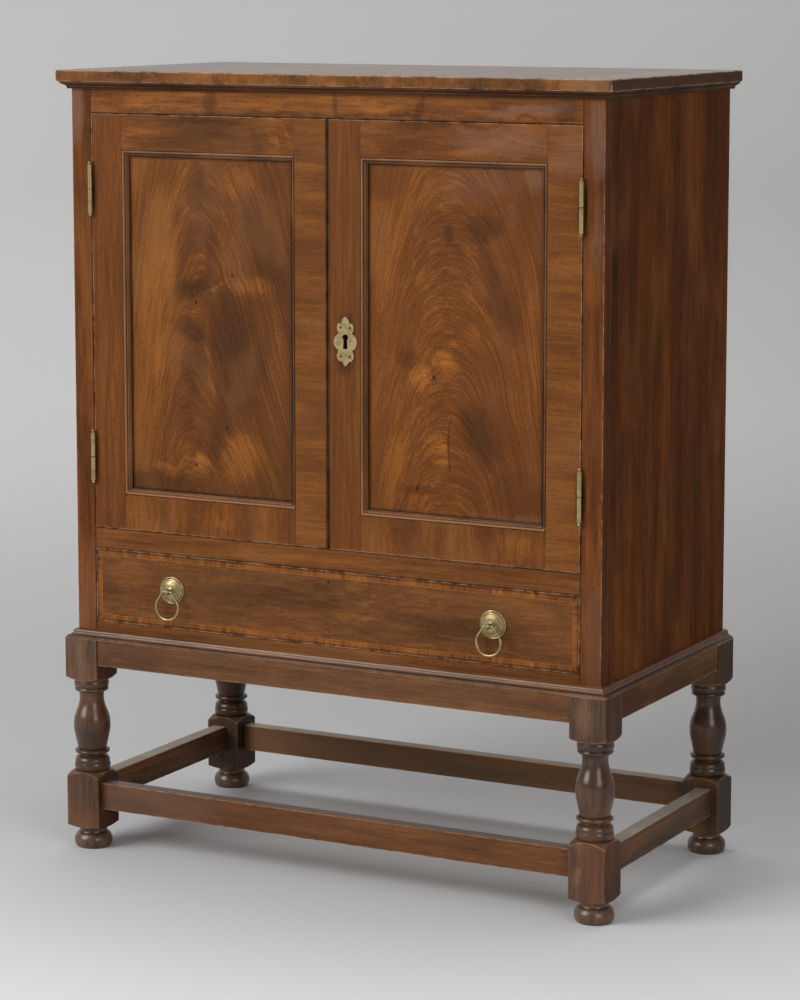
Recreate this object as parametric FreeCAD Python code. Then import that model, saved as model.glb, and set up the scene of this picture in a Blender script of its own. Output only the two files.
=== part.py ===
import FreeCAD, Part
import math
import os

# A two-door cupboard over one long drawer, carried on a stand with turned legs, box stretchers
# and bun feet. Lengths are in millimetres. While the pieces are made, X runs to the right from
# the middle of the case, Y runs back from its front face and Z runs up from the floor. The
# finished pieces are then moved so that the origin is under the middle of the whole cabinet.

# Case
case_width = 914.0
case_depth = 470.0
case_height = 884.0
back_overhang = 6.0
side_thickness = 18.0
front_frame_depth = 22.0
stile_width = 34.0
top_rail_height = 48.0
mid_rail_height = 32.2
bottom_rail_height = 30.0
rail_depth = 45.0
rail_tenon_length = 20.0
rail_tenon_thickness = 8.0
rail_tenon_shoulder = 5.0
drawer_opening_height = 118.3
case_bottom_thickness = 18.0
dust_board_thickness = 16.0
back_board_thickness = 10.0
back_board_lap = 9.0
back_board_gap = 1.0
back_board_count = 5
shelf_thickness = 14.0
shelf_height_shares = (0.32, 0.64)
housing_depth = 6.0

# Top board and the cornice moulding under it
top_board_thickness = 18.0
top_board_overhang = 18.0
top_board_round = 3.0
cornice_height = 11.0
cornice_projection = 14.0
cornice_shares = (
    (0.0, 0.0),
    (0.38, 0.0),
    (0.40, 0.16),
    (0.50, 0.40, 0.72, 0.60),
    (0.80, 0.60),
    (0.80, 0.72),
    (1.0, 0.72),
    (1.0, 1.0),
    (0.0, 1.0),
)

# Stand
stand_height = 344.0
leg_size = 59.0
leg_reach = 16.0
foot_height = 34.0
foot_radius = 30.5
foot_dowel_radius = 8.0
foot_dowel_length = 24.0
lower_block_height = 83.0
upper_block_height = 63.0
lower_shoulder_rise = 8.5
upper_shoulder_rise = 5.5
shoulder_swell = 0.8
block_foot_round = 3.5
apron_height = 41.0
apron_thickness = 20.0
apron_set_back = 2.0
stretcher_height = 42.5
stretcher_thickness = 24.0
stretcher_set_back = 11.0
stretcher_rise = 33.0
stand_tenon_length = 25.0
stand_tenon_thickness = 8.0
stand_tenon_shoulder = 4.0
stand_moulding_height = 14.5
stand_moulding_shares = (
    (0.0, 0.0),
    (1.0, 0.0),
    (1.0, 0.10),
    (0.88, 0.14),
    (0.86, 0.25),
    (0.82, 0.30),
    (0.74, 0.31),
    (0.545, 0.42, 0.42, 0.60),
    (0.42, 0.64),
    (0.39, 0.80, 0.30, 0.91),
    (0.0, 1.0),
)

# Foot outline, as shares of the foot's radius and height
foot_shares = (
    (0.0, 0.0),
    (0.87, 0.0),
    (1.0, 0.315, 0.87, 0.63),
    (0.75, 0.72),
    (0.72, 0.84, 0.76, 0.94),
    (0.82, 1.0),
    (0.0, 1.0),
)

# Turned part of a leg, as shares of half the block and of the height between the blocks
lower_torus_shares = (
    (0.87, 0.0),
    (0.972, 0.045, 0.94, 0.090),
    (0.91, 0.092),
    (0.91, 0.098),
    (0.94, 0.100),
    (0.88, 0.143, 0.735, 0.163),
)
lower_cove_shares = ((0.705, 0.175, 0.76, 0.187),)
middle_bead_shares = ((0.85, 0.190), (0.945, 0.211, 0.86, 0.233), (0.77, 0.241))
vase_shares = (
    (0.77, 0.241),
    (0.845, 0.309),
    (0.915, 0.371),
    (0.98, 0.434),
    (0.997, 0.508),
    (0.965, 0.570),
    (0.875, 0.632),
    (0.765, 0.688),
    (0.692, 0.738),
    (0.657, 0.800),
    (0.69, 0.862),
)
upper_bead_shares = ((0.76, 0.866), (0.79, 0.870), (0.915, 0.888, 0.875, 0.905), (0.865, 0.909))
upper_torus_shares = ((0.90, 0.912), (0.945, 0.948, 0.915, 0.985), (0.915, 1.0))

# Doors
door_gap = 1.2
door_foot_gap = 1.0
meeting_gap = 2.5
door_thickness = 22.0
door_stile_width = 55.5
door_rail_height = 55.5
door_tenon_length = 22.0
door_tenon_thickness = 7.0
door_tenon_shoulder = 12.0
panel_recess = 9.0
panel_thickness = 8.0
panel_tongue = 8.0
door_moulding_width = 9.5
door_moulding_rise = 10.0
door_moulding_shares = (
    (0.0, 0.0),
    (0.0, 0.84),
    (0.07, 0.84),
    (0.24, 1.0, 0.44, 0.84),
    (0.46, 0.70),
    (0.53, 0.70),
    (0.66, 0.80, 0.76, 0.66),
    (0.84, 0.44, 1.0, 0.34),
    (1.0, 0.0),
)

# Hinges: a lower knuckle on the case, an upper knuckle on the door and a capped pin
hinge_length = 76.0
hinge_top_inset = 79.5
hinge_foot_inset = 75.0
knuckle_radius = 4.0
knuckle_proud_gap = 0.3
knuckle_gap = 0.4
hinge_pin_radius = 2.0
hinge_pin_clearance = 0.05
hinge_cap_radius = 2.9
hinge_cap_height = 4.0
hinge_cap_seat = 0.3
hinge_cap_flat_share = 0.55
hinge_neck_radius = 2.4
hinge_neck_height = 0.8
leaf_thickness = 1.6
leaf_depth = 18.0
leaf_set_back = 0.5
hinge_screw_shares = (0.14, 0.5, 0.86)
hinge_screw_depth_share = 0.56
screw_head_radius = 3.0
screw_head_height = 1.5
screw_radius = 1.6
screw_length = 16.0
screw_point_length = 4.0

# Lock, keyhole and escutcheon on the right door
escutcheon_width = 40.0
escutcheon_height = 76.0
escutcheon_thickness = 1.2
escutcheon_rise = 281.5
escutcheon_edge_distance = 30.0
escutcheon_half_shares = (
    (0.0, 1.0),
    (0.22, 0.955, 0.35, 0.887),
    (0.30, 0.85),
    (0.50, 0.868, 0.70, 0.811),
    (0.72, 0.76, 0.56, 0.67),
    (0.82, 0.613),
    (1.0, 0.500, 0.72, 0.349),
    (0.60, 0.33),
    (0.74, 0.222),
    (0.66, 0.15, 0.51, 0.108),
    (0.35, 0.108),
    (0.0, 0.0),
)
escutcheon_pin_shares = ((0.385, 0.78), (0.38, 0.203))
escutcheon_hole_radius = 1.9
escutcheon_pin_radius = 0.8
escutcheon_pin_head_radius = 1.6
escutcheon_pin_head_height = 0.6
escutcheon_pin_length = 8.0
keyhole_radius = 4.8
keyhole_centre_share = 0.585
keyhole_foot_share = 0.354
keyhole_neck_half_width = 2.9
keyhole_foot_half_width = 3.7
lock_width = 46.0
lock_height = 64.0
lock_depth = 10.0
lock_wall = 1.6
selvage_height = 78.0
selvage_thickness = 2.0
selvage_width = 14.0
bolt_height = 13.0
bolt_length = 33.0
bolt_thickness = 4.5
bolt_set_back = 0.3
bolt_slack = 0.3
bolt_lift = 3.0
bolt_throw = 9.0
bolt_mortise_slack = 1.0

# Bolts at the back of the left door's meeting stile
bar_width = 8.0
bar_thickness = 5.0
bar_length = 66.0
bar_set_back = 0.5
bar_slack = 0.4
bar_throw = 10.0
bar_end_gap = 1.5
bar_knob_radius = 2.2
bar_knob_reach = 7.0
bar_knob_share = 0.62
bolt_plate_width = 18.0
bolt_plate_length = 72.0
bolt_plate_thickness = 1.5
bolt_plate_inset = 3.0

# Drawer
drawer_gap = 1.0
drawer_running_gap = 0.3
drawer_front_thickness = 20.0
drawer_side_thickness = 12.0
drawer_side_gap = 1.5
drawer_side_drop = 3.0
drawer_back_gap = 20.0
drawer_bottom_thickness = 6.0
drawer_bottom_rise = 8.0
drawer_groove_depth = 5.0
drawer_back_drop = 7.0
drawer_back_housing = 4.0
dovetail_count = 3
dovetail_length = 12.0
dovetail_half_width = 13.0
dovetail_flare = 2.2
band_width = 9.5
string_width = 1.2
band_thickness = 1.0
runner_width = 34.0
guide_gap = 0.8
guide_height = 24.0
stop_width = 40.0
stop_depth = 14.0
stop_height = 5.0
stop_place_share = 0.5

# Drawer pulls: a rose, a post through it and a ring that swings in the post
pull_spread = 562.0
pull_rise = 61.0
rose_radius = 22.0
rose_rise = 6.5
rose_shares = (
    (1.0, 0.0),
    (1.0, 0.12),
    (0.98, 0.28, 0.91, 0.30),
    (0.88, 0.24),
    (0.86, 0.42, 0.72, 0.62),
    (0.52, 0.90, 0.30, 1.0),
)
post_stem_radius = 3.0
post_stem_clearance = 0.1
post_reach = 20.0
post_head_radius = 4.7
post_neck_radius = 3.4
post_collar_radius = 5.4
post_collar_height = 2.2
post_nut_radius = 6.5
post_nut_height = 4.0
post_nut_sides = 6
ring_pin_radius = 1.5
ring_pin_clearance = 0.08
ring_pin_half_length = 5.4
ring_shoulder_radius = 4.2
ring_wire_radius = 2.3
ring_half_width = 22.5
ring_drop = 47.0

# A cutter runs this far past what it cuts
overrun = 4.0
# Two ends of an outline closer than this are the same point
same_point = 0.000001
# An outline's step of this many numbers is an arc
arc_step = 4

# Places worked out from the sizes above
case_half = case_width / 2
inner_half = case_half - side_thickness
opening_half = case_half - stile_width
case_top = stand_height + case_height
case_back = case_depth + back_overhang
back_board_front = case_depth - back_board_thickness
door_opening_top = case_top - top_rail_height
drawer_opening_foot = stand_height + bottom_rail_height
drawer_opening_top = drawer_opening_foot + drawer_opening_height
door_opening_foot = drawer_opening_top + mid_rail_height
dust_board_foot = door_opening_foot - dust_board_thickness
leg_half = leg_size / 2
leg_x = case_half + leg_reach - leg_half
leg_front_y = leg_half - leg_reach
leg_back_y = case_back - leg_half
door_top = door_opening_top - door_gap
door_foot = door_opening_foot + door_foot_gap
hinge_edge = opening_half - door_gap
meeting_edge = meeting_gap / 2
hinge_axis_x = opening_half - door_gap / 2
hinge_axis_y = -(knuckle_radius + knuckle_proud_gap)
escutcheon_x = meeting_edge + escutcheon_edge_distance
escutcheon_foot = door_foot + escutcheon_rise
post_head_y = post_head_radius - post_reach
drawer_half = opening_half - drawer_gap
drawer_foot = drawer_opening_foot + drawer_running_gap
drawer_top = drawer_opening_top - drawer_gap
drawer_side_outer = opening_half - drawer_side_gap
drawer_side_inner = drawer_side_outer - drawer_side_thickness
drawer_bottom_foot = drawer_foot + drawer_bottom_rise
drawer_bottom_top = drawer_bottom_foot + drawer_bottom_thickness
drawer_length = back_board_front - drawer_back_gap
pull_height = drawer_opening_foot + pull_rise
middle_y = (leg_back_y + foot_radius - post_reach) / 2

RIGHT = FreeCAD.Vector(1, 0, 0)
BACK = FreeCAD.Vector(0, 1, 0)
UP = FreeCAD.Vector(0, 0, 1)
LEFT = -RIGHT
FRONT = -BACK
DOWN = -UP


def point(x, y, z):
    return FreeCAD.Vector(x, y, z)


def box(xs, ys, zs):
    """A block between pairs of X, Y and Z places, given in either order."""
    low = point(min(xs), min(ys), min(zs))
    size = point(max(xs), max(ys), max(zs)) - low
    return Part.makeBox(size.x, size.y, size.z, low)


def join(shapes):
    """One solid from several that touch or overlap."""
    first = shapes[0]
    return first.multiFuse(shapes[1:]).removeSplitter()


def without(shape, cutters):
    """The shape with every cutter taken out of it."""
    return shape.cut(Part.makeCompound(cutters))


def path(start, steps, place):
    """The edges of a path. A step of two numbers is a corner. A step of four is an arc, with a
    point on the way and its end."""
    edges = []
    here = place(*start)
    for step in steps:
        there = place(*step[-2:])
        if len(step) == arc_step:
            edges.append(Part.Arc(here, place(*step[:2]), there).toShape())
        else:
            edges.append(Part.LineSegment(here, there).toShape())
        here = there
    return edges


def outline(steps, place):
    """A face inside an outline, closed by a straight edge where its ends don't meet."""
    edges = path(steps[0], steps[1:], place)
    if place(*steps[-1][-2:]).distanceToPoint(place(*steps[0])) > same_point:
        edges += path(steps[-1][-2:], [steps[0]], place)
    return Part.Face(Part.Wire(edges))


def scaled(shares, width, height):
    """Steps of shares turned into lengths."""
    steps = []
    for step in shares:
        sizes = [width, height] * (len(step) // 2)
        steps.append(tuple(share * size for share, size in zip(step, sizes)))
    return steps


def lathe(steps, base, axis, radial):
    """A turned solid from steps of radius and distance along the axis."""
    face = outline(steps, lambda radius, along: base + radial * radius + axis * along)
    return face.revolve(base, axis, 360)


def rod(radius, base, direction, length):
    return Part.makeCylinder(radius, length, base, direction)


def moulding(section, depth, height, start, end, out, up, mitres):
    """A straight length of moulding from start to end, which lie on its inner lower line. A mitre
    of 1 runs longer at the outside, -1 runs shorter and 0 is square."""
    along = (end - start).normalize()
    face = outline(section, lambda d, h: start + out * d + up * h)
    run = (end - start).Length
    face.translate(along * -(depth + overrun))
    length = face.extrude(along * (run + 2 * (depth + overrun)))
    corners = []
    for place, turn, d in (
        (start, -mitres[0], -overrun),
        (start, -mitres[0], depth + overrun),
        (end, mitres[1], depth + overrun),
        (end, mitres[1], -overrun),
    ):
        corners.append(place + out * d + along * (turn * d) - up * overrun)
    plan = Part.Face(Part.makePolygon(corners + corners[:1]))
    return length.common(plan.extrude(up * (height + 2 * overrun)))


def tenoned(body, tenons):
    """A rail with its tenons."""
    return join([body] + tenons)


def turning_steps(foot, height):
    """The turned part of a leg, from its lower block to its upper block."""
    def lift(shares):
        steps = []
        for step in scaled(shares, leg_half, height):
            steps.append(tuple(value + foot * (i % 2) for i, value in enumerate(step)))
        return steps

    before = lift(lower_torus_shares + lower_cove_shares + middle_bead_shares)
    vase = [place[:2] for place in lift(vase_shares)]
    after = lift(upper_bead_shares + upper_torus_shares)
    return before, vase, after


def shoulder_middle(corner, height, lift):
    """The middle of a block's rounded shoulder, which starts at that height on the turned part and
    is lifted by so much at the block's corner."""
    out = corner - leg_half
    swell = shoulder_swell / math.hypot(out, lift)
    turn = math.copysign(out, lift)
    return (corner + leg_half) / 2 + swell * abs(lift), height + lift / 2 - swell * turn


def leg(x, y):
    """A leg: two square blocks with a turned vase, beads and coves between them."""
    diagonal = math.hypot(leg_half, leg_half)
    corner = diagonal + overrun
    lower_top = foot_height + lower_block_height
    upper_foot = stand_height - upper_block_height
    turning_foot = lower_top + lower_shoulder_rise
    turning_top = upper_foot - upper_shoulder_rise
    before, vase, after = turning_steps(turning_foot, turning_top - turning_foot)
    stretch = (corner - leg_half) / (diagonal - leg_half)
    lower_drop = lower_shoulder_rise * stretch
    upper_lift = upper_shoulder_rise * stretch
    corner_foot_rise = block_foot_round * stretch

    def place(radius, height):
        return point(x + radius, y, height)

    lower = [
        (leg_half, foot_height),
        (corner, foot_height + corner_foot_rise),
        (corner, turning_foot - lower_drop),
        (*shoulder_middle(corner, turning_foot, -lower_drop), leg_half, turning_foot),
    ]
    upper = [
        (leg_half, turning_top),
        (*shoulder_middle(corner, turning_top, upper_lift), corner, turning_top + upper_lift),
        (corner, stand_height),
        (0, stand_height),
        (0, foot_height),
    ]
    curve = Part.BSplineCurve()
    curve.interpolate([place(*spot) for spot in vase])
    edges = path((0, foot_height), lower + before, place)
    edges.append(curve.toShape())
    edges += path(vase[-1], after + upper, place)
    turned = Part.Face(Part.Wire(edges)).revolve(place(0, 0), UP, 360)
    square = box((x - leg_half, x + leg_half), (y - leg_half, y + leg_half), (foot_height, stand_height))
    socket = rod(foot_dowel_radius, place(0, foot_height), UP, foot_dowel_length)
    return square.common(turned).cut(socket)


def foot(x, y):
    """A turned bun foot with the dowel that goes up into its leg."""
    steps = scaled(foot_shares, foot_radius, foot_height)
    bun = lathe(steps, point(x, y, 0), UP, RIGHT)
    dowel = rod(foot_dowel_radius, point(x, y, foot_height), UP, foot_dowel_length)
    return join([bun, dowel])


def stand_rail(axis, sign, height, thickness, set_back, foot_z):
    """An apron or stretcher between two legs. Axis 0 runs along X, at the front for a sign of -1
    and at the back for 1. Axis 1 runs along Y, at the left or right side."""
    heights = (foot_z, foot_z + height)
    inner_heights = (foot_z + stand_tenon_shoulder, foot_z + height - stand_tenon_shoulder)
    if axis == 0:
        ends = (leg_half - leg_x, leg_x - leg_half)
        face = leg_front_y - leg_half if sign < 0 else leg_back_y + leg_half
    else:
        ends = (leg_front_y + leg_half, leg_back_y - leg_half)
        face = sign * (leg_x + leg_half)
    outer = face - sign * set_back
    inner = outer - sign * thickness
    middle = (outer + inner) / 2
    tenon = (middle - stand_tenon_thickness / 2, middle + stand_tenon_thickness / 2)
    reach = (ends[0] - stand_tenon_length, ends[1] + stand_tenon_length)
    if axis == 0:
        body = box(ends, (outer, inner), heights)
        core = box(reach, tenon, inner_heights)
    else:
        body = box((outer, inner), ends, heights)
        core = box(tenon, reach, inner_heights)
    return tenoned(body, [core])


def make_stand():
    """Legs, feet, aprons, stretchers and the moulding that holds the case in place."""
    pieces = {}
    sides = {"front": (0, -1), "back": (0, 1), "left": (1, -1), "right": (1, 1)}
    rails = []
    for side, (axis, sign) in sides.items():
        apron = stand_rail(
            axis, sign, apron_height, apron_thickness, apron_set_back, stand_height - apron_height
        )
        stretcher = stand_rail(
            axis,
            sign,
            stretcher_height,
            stretcher_thickness,
            stretcher_set_back,
            foot_height + stretcher_rise,
        )
        pieces["apron_" + side] = [apron]
        pieces["stretcher_" + side] = [stretcher]
        rails += [apron, stretcher]
    feet = []
    for row, y in (("front", leg_front_y), ("back", leg_back_y)):
        for side, x in (("left", -leg_x), ("right", leg_x)):
            pieces["leg_" + row + "_" + side] = [without(leg(x, y), rails)]
            feet.append(foot(x, y))
    pieces["bun_feet"] = feet
    pieces["stand_moulding"] = surround(
        stand_moulding_shares, leg_reach, stand_moulding_height, stand_height, case_back
    )
    return pieces


def surround(shares, depth, height, foot_z, back):
    """Three mitred lengths of moulding round the front and sides of the case."""
    section = scaled(shares, depth, height)
    front_left = point(-case_half, 0, foot_z)
    front_right = point(case_half, 0, foot_z)
    back_left = point(-case_half, back, foot_z)
    back_right = point(case_half, back, foot_z)
    return [
        moulding(section, depth, height, front_left, front_right, FRONT, UP, (1, 1)),
        moulding(section, depth, height, back_left, front_left, LEFT, UP, (0, 1)),
        moulding(section, depth, height, front_right, back_right, RIGHT, UP, (1, 0)),
    ]


def case_rail(foot_z, top_z, depth):
    """A rail across the front of the case, tenoned into the front stiles."""
    body = box((-opening_half, opening_half), (0, front_frame_depth), (foot_z, top_z))
    tenon_y = (front_frame_depth - rail_tenon_thickness) / 2
    tenon = box(
        (-opening_half - rail_tenon_length, opening_half + rail_tenon_length),
        (tenon_y, tenon_y + rail_tenon_thickness),
        (foot_z + rail_tenon_shoulder, top_z - rail_tenon_shoulder),
    )
    parts = [tenon]
    if depth > front_frame_depth:
        parts.append(box((-inner_half, inner_half), (front_frame_depth, depth), (foot_z, top_z)))
    return tenoned(body, parts)


def make_shelves():
    """Fixed shelves housed in the case sides."""
    shelves = []
    for share in shelf_height_shares:
        foot_z = door_opening_foot + share * (case_top - door_opening_foot)
        reach = inner_half + housing_depth
        front = door_thickness + bolt_slack
        shelves.append(box((-reach, reach), (front, back_board_front), (foot_z, foot_z + shelf_thickness)))
    return shelves


def make_back_boards():
    """Upright boards in a rebate at the back of the sides."""
    whole = 2 * (inner_half + back_board_lap)
    width = (whole - back_board_gap * (back_board_count - 1)) / back_board_count
    boards = []
    for i in range(back_board_count):
        left = i * (width + back_board_gap) - whole / 2
        boards.append(box((left, left + width), (back_board_front, case_depth), (stand_height, case_top)))
    return boards


def make_drawer_runners():
    """Runners, guides and kickers at both sides, and two stops on the bottom rail."""
    pieces = []
    run = (rail_depth, back_board_front)
    runner_foot = stand_height + case_bottom_thickness
    inner = inner_half - runner_width
    for sign in (-1, 1):
        width = (sign * inner, sign * inner_half)
        pieces.append(box(width, run, (runner_foot, drawer_opening_foot)))
        pieces.append(box(width, run, (drawer_opening_top, dust_board_foot)))
        guide_width = (sign * (drawer_side_outer + guide_gap), sign * inner_half)
        pieces.append(box(guide_width, run, (drawer_opening_foot, drawer_opening_foot + guide_height)))
        stop_x = sign * stop_place_share * opening_half
        stop_y = drawer_front_thickness + drawer_running_gap
        pieces.append(
            box(
                (stop_x - stop_width / 2, stop_x + stop_width / 2),
                (stop_y, stop_y + stop_depth),
                (drawer_opening_foot, drawer_opening_foot + stop_height),
            )
        )
    return pieces


def make_case(hinge_cutters):
    """The carcass: front frame, sides, boards across, back, shelves, top and cornice."""
    pieces = {}
    top_rail = case_rail(door_opening_top, case_top, front_frame_depth)
    mid_rail = case_rail(drawer_opening_top, door_opening_foot, rail_depth)
    bottom_rail = case_rail(stand_height, drawer_opening_foot, rail_depth)
    reach = inner_half + housing_depth
    depth = (rail_depth, back_board_front)
    case_bottom = box((-reach, reach), depth, (stand_height, stand_height + case_bottom_thickness))
    dust_board = box((-reach, reach), depth, (dust_board_foot, door_opening_foot))
    shelves = make_shelves()
    boards = make_back_boards()
    heights = (stand_height, case_top)
    for side, sign in (("left", -1), ("right", 1)):
        stile = box((sign * opening_half, sign * case_half), (0, front_frame_depth), heights)
        cutters = [top_rail, mid_rail, bottom_rail] + hinge_cutters
        pieces["front_stile_" + side] = [without(stile, cutters)]
        board = box((sign * inner_half, sign * case_half), (front_frame_depth, case_depth), heights)
        cutters = [case_bottom, dust_board] + shelves + boards
        pieces["case_side_" + side] = [without(board, cutters)]
    width, thickness = bar_room()
    deepest = bar_throw + bar_end_gap
    upper_hole = box(width, thickness, (door_opening_top - overrun, door_opening_top + deepest))
    lower_hole = box(width, thickness, (door_opening_foot - deepest, door_opening_foot + overrun))
    pieces["top_rail"] = [top_rail.cut(upper_hole)]
    pieces["mid_rail"] = [mid_rail.cut(lower_hole)]
    pieces["bottom_rail"] = [bottom_rail]
    pieces["case_bottom"] = [case_bottom]
    pieces["dust_board"] = [dust_board]
    pieces["shelves"] = shelves
    pieces["back_boards"] = boards
    pieces["drawer_runners"] = make_drawer_runners()
    pieces["case_top"] = [make_top_board()]
    pieces["cornice_moulding"] = surround(
        cornice_shares, cornice_projection, cornice_height, case_top - cornice_height, case_back
    )
    return pieces


def make_top_board():
    """The top board, with its front and side edges rounded."""
    reach = case_half + top_board_overhang
    board = box(
        (-reach, reach),
        (-top_board_overhang, case_back),
        (case_top, case_top + top_board_thickness),
    )
    edges = []
    for edge in board.Edges:
        centre = edge.CenterOfMass
        level = abs(edge.tangentAt(edge.FirstParameter).z) < same_point
        if level and centre.y < case_back - same_point:
            edges.append(edge)
    return board.makeFillet(top_board_round, edges)


def hinge_feet():
    """The heights of the lower ends of the two hinges on a door."""
    return (door_foot + hinge_foot_inset, door_top - hinge_top_inset - hinge_length)


def screw(head, direction):
    """A countersunk screw whose flat head lies at the given place."""
    body_end = screw_length - screw_point_length
    steps = [
        (0, 0),
        (screw_head_radius, 0),
        (screw_radius, screw_head_height),
        (screw_radius, body_end),
        (0, screw_length),
    ]
    return lathe(steps, head, direction, UP)


def leaf_screws(face_x, direction, foot_z):
    """The screws of one hinge leaf."""
    screws = []
    for share in hinge_screw_shares:
        y = leaf_depth * hinge_screw_depth_share
        screws.append(screw(point(face_x, y, foot_z + share * hinge_length), direction))
    return screws


def hinge_leaf(sign, face_x, outward, foot_z, knuckle_at_top):
    """A hinge leaf let into a wooden edge, with its knuckle in front of the gap. Outward is the
    direction, -1 or 1 along X, in which the leaf lies behind its face."""
    back_x = face_x + outward * leaf_thickness
    plate = box((face_x, back_x), (leaf_set_back, leaf_depth), (foot_z, foot_z + hinge_length))
    half = hinge_length / 2
    if knuckle_at_top:
        low = foot_z + half + knuckle_gap / 2
        high = foot_z + hinge_length
    else:
        low = foot_z
        high = foot_z + half - knuckle_gap / 2
    neck = box((face_x, back_x), (hinge_axis_y, leaf_depth), (low, high))
    axis_x = sign * hinge_axis_x
    knuckle = rod(knuckle_radius, point(axis_x, hinge_axis_y, low), UP, high - low)
    bore = rod(
        hinge_pin_radius + hinge_pin_clearance,
        point(axis_x, hinge_axis_y, low - overrun),
        UP,
        high - low + 2 * overrun,
    )
    return join([plate, neck, knuckle]).cut(bore)


def hinge_pin(sign, foot_z):
    """A pin with a grooved button cap at each end."""
    low = foot_z - hinge_neck_height
    seat = foot_z + hinge_length + hinge_cap_seat
    high = seat + hinge_neck_height
    flat = hinge_cap_radius * hinge_cap_flat_share
    steps = [
        (0, low - hinge_cap_height),
        (flat, low - hinge_cap_height),
        (hinge_cap_radius, low - hinge_cap_height / 2, flat, low),
        (hinge_neck_radius, low),
        (hinge_neck_radius, foot_z),
        (hinge_pin_radius, foot_z),
        (hinge_pin_radius, seat),
        (hinge_neck_radius, seat),
        (hinge_neck_radius, high),
        (flat, high),
        (hinge_cap_radius, high + hinge_cap_height / 2, flat, high + hinge_cap_height),
        (0, high + hinge_cap_height),
    ]
    return lathe(steps, point(sign * hinge_axis_x, hinge_axis_y, 0), UP, RIGHT)


def make_hinges():
    """Four two-part hinges with their pins and screws."""
    pieces = {"hinge_frame_leaves": [], "hinge_frame_screws": [], "hinge_pins": []}
    for side, sign in (("left", -1), ("right", 1)):
        leaves = []
        screws = []
        for foot_z in hinge_feet():
            frame_face = sign * opening_half
            door_face = sign * hinge_edge
            frame_screws = leaf_screws(frame_face, RIGHT * sign, foot_z)
            door_screws = leaf_screws(door_face, LEFT * sign, foot_z)
            frame_leaf = hinge_leaf(sign, frame_face, sign, foot_z, False)
            door_leaf = hinge_leaf(sign, door_face, -sign, foot_z, True)
            pieces["hinge_frame_leaves"].append(without(frame_leaf, frame_screws))
            pieces["hinge_frame_screws"] += frame_screws
            pieces["hinge_pins"].append(hinge_pin(sign, foot_z))
            leaves.append(without(door_leaf, door_screws))
            screws += door_screws
        pieces[side + "_door_hinge_leaves"] = leaves
        pieces[side + "_door_screws"] = screws
    return pieces


def make_door(side, sign, fittings):
    """A framed door with a sunk panel. Fittings are what is let into its frame."""
    outer = sign * hinge_edge
    inner = sign * meeting_edge
    hinge_inner = outer - sign * door_stile_width
    meeting_inner = inner + sign * door_stile_width
    rail_foot = door_foot + door_rail_height
    rail_top = door_top - door_rail_height
    depth = (0, door_thickness)
    panel_back = panel_recess + panel_thickness
    panel = box(
        (meeting_inner - sign * panel_tongue, hinge_inner + sign * panel_tongue),
        (panel_recess, panel_back),
        (rail_foot - panel_tongue, rail_top + panel_tongue),
    )
    tenon_y = panel_recess + (panel_thickness - door_tenon_thickness) / 2
    tenon_depth = (tenon_y, tenon_y + door_tenon_thickness)
    tenon_reach = (
        meeting_inner - sign * door_tenon_length,
        hinge_inner + sign * door_tenon_length,
    )
    rails = []
    for low, high, tenon_low, tenon_high in (
        (door_foot, rail_foot, door_foot + door_tenon_shoulder, rail_foot - door_tenon_shoulder),
        (rail_top, door_top, rail_top + door_tenon_shoulder, door_top - door_tenon_shoulder),
    ):
        body = box((meeting_inner, hinge_inner), depth, (low, high))
        tenon = box(tenon_reach, tenon_depth, (tenon_low, tenon_high))
        rails.append(tenoned(body, [tenon]).cut(panel))
    hinge_stile = box((hinge_inner, outer), depth, (door_foot, door_top))
    meeting_stile = box((meeting_inner, inner), depth, (door_foot, door_top))
    cutters = rails + [panel] + fittings
    name = side + "_door_"
    return {
        name + "hinge_stile": [without(hinge_stile, cutters)],
        name + "meeting_stile": [without(meeting_stile, cutters)],
        name + "rails": rails,
        name + "panel": [panel],
        name + "moulding": door_mouldings(meeting_inner, hinge_inner, rail_foot, rail_top),
    }


def door_mouldings(side_a, side_b, low, high):
    """Four mitred lengths round the panel, against the frame's inner edges."""
    section = scaled(door_moulding_shares, door_moulding_width, door_moulding_rise)
    left = min(side_a, side_b)
    right = max(side_a, side_b)
    corners = [
        point(left, panel_recess, low),
        point(right, panel_recess, low),
        point(right, panel_recess, high),
        point(left, panel_recess, high),
    ]
    lengths = []
    for i, inward in enumerate((UP, LEFT, DOWN, RIGHT)):
        start = corners[i]
        end = corners[(i + 1) % len(corners)]
        lengths.append(
            moulding(section, door_moulding_width, door_moulding_rise, start, end, inward, FRONT, (-1, -1))
        )
    return lengths


def keyhole(front_y, back_y):
    """The keyhole as a cutter between two depths."""
    centre_z = escutcheon_foot + keyhole_centre_share * escutcheon_height
    foot_z = escutcheon_foot + keyhole_foot_share * escutcheon_height
    base = point(escutcheon_x, front_y, centre_z)
    eye = rod(keyhole_radius, base, BACK, back_y - front_y)
    corners = [
        point(escutcheon_x - keyhole_neck_half_width, front_y, centre_z),
        point(escutcheon_x + keyhole_neck_half_width, front_y, centre_z),
        point(escutcheon_x + keyhole_foot_half_width, front_y, foot_z),
        point(escutcheon_x - keyhole_foot_half_width, front_y, foot_z),
    ]
    slot = Part.Face(Part.makePolygon(corners + corners[:1])).extrude(BACK * (back_y - front_y))
    return join([eye, slot])


def escutcheon_place(side, share_x, share_z):
    x = escutcheon_x + side * share_x * escutcheon_width / 2
    return point(x, 0, escutcheon_foot + share_z * escutcheon_height)


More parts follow.
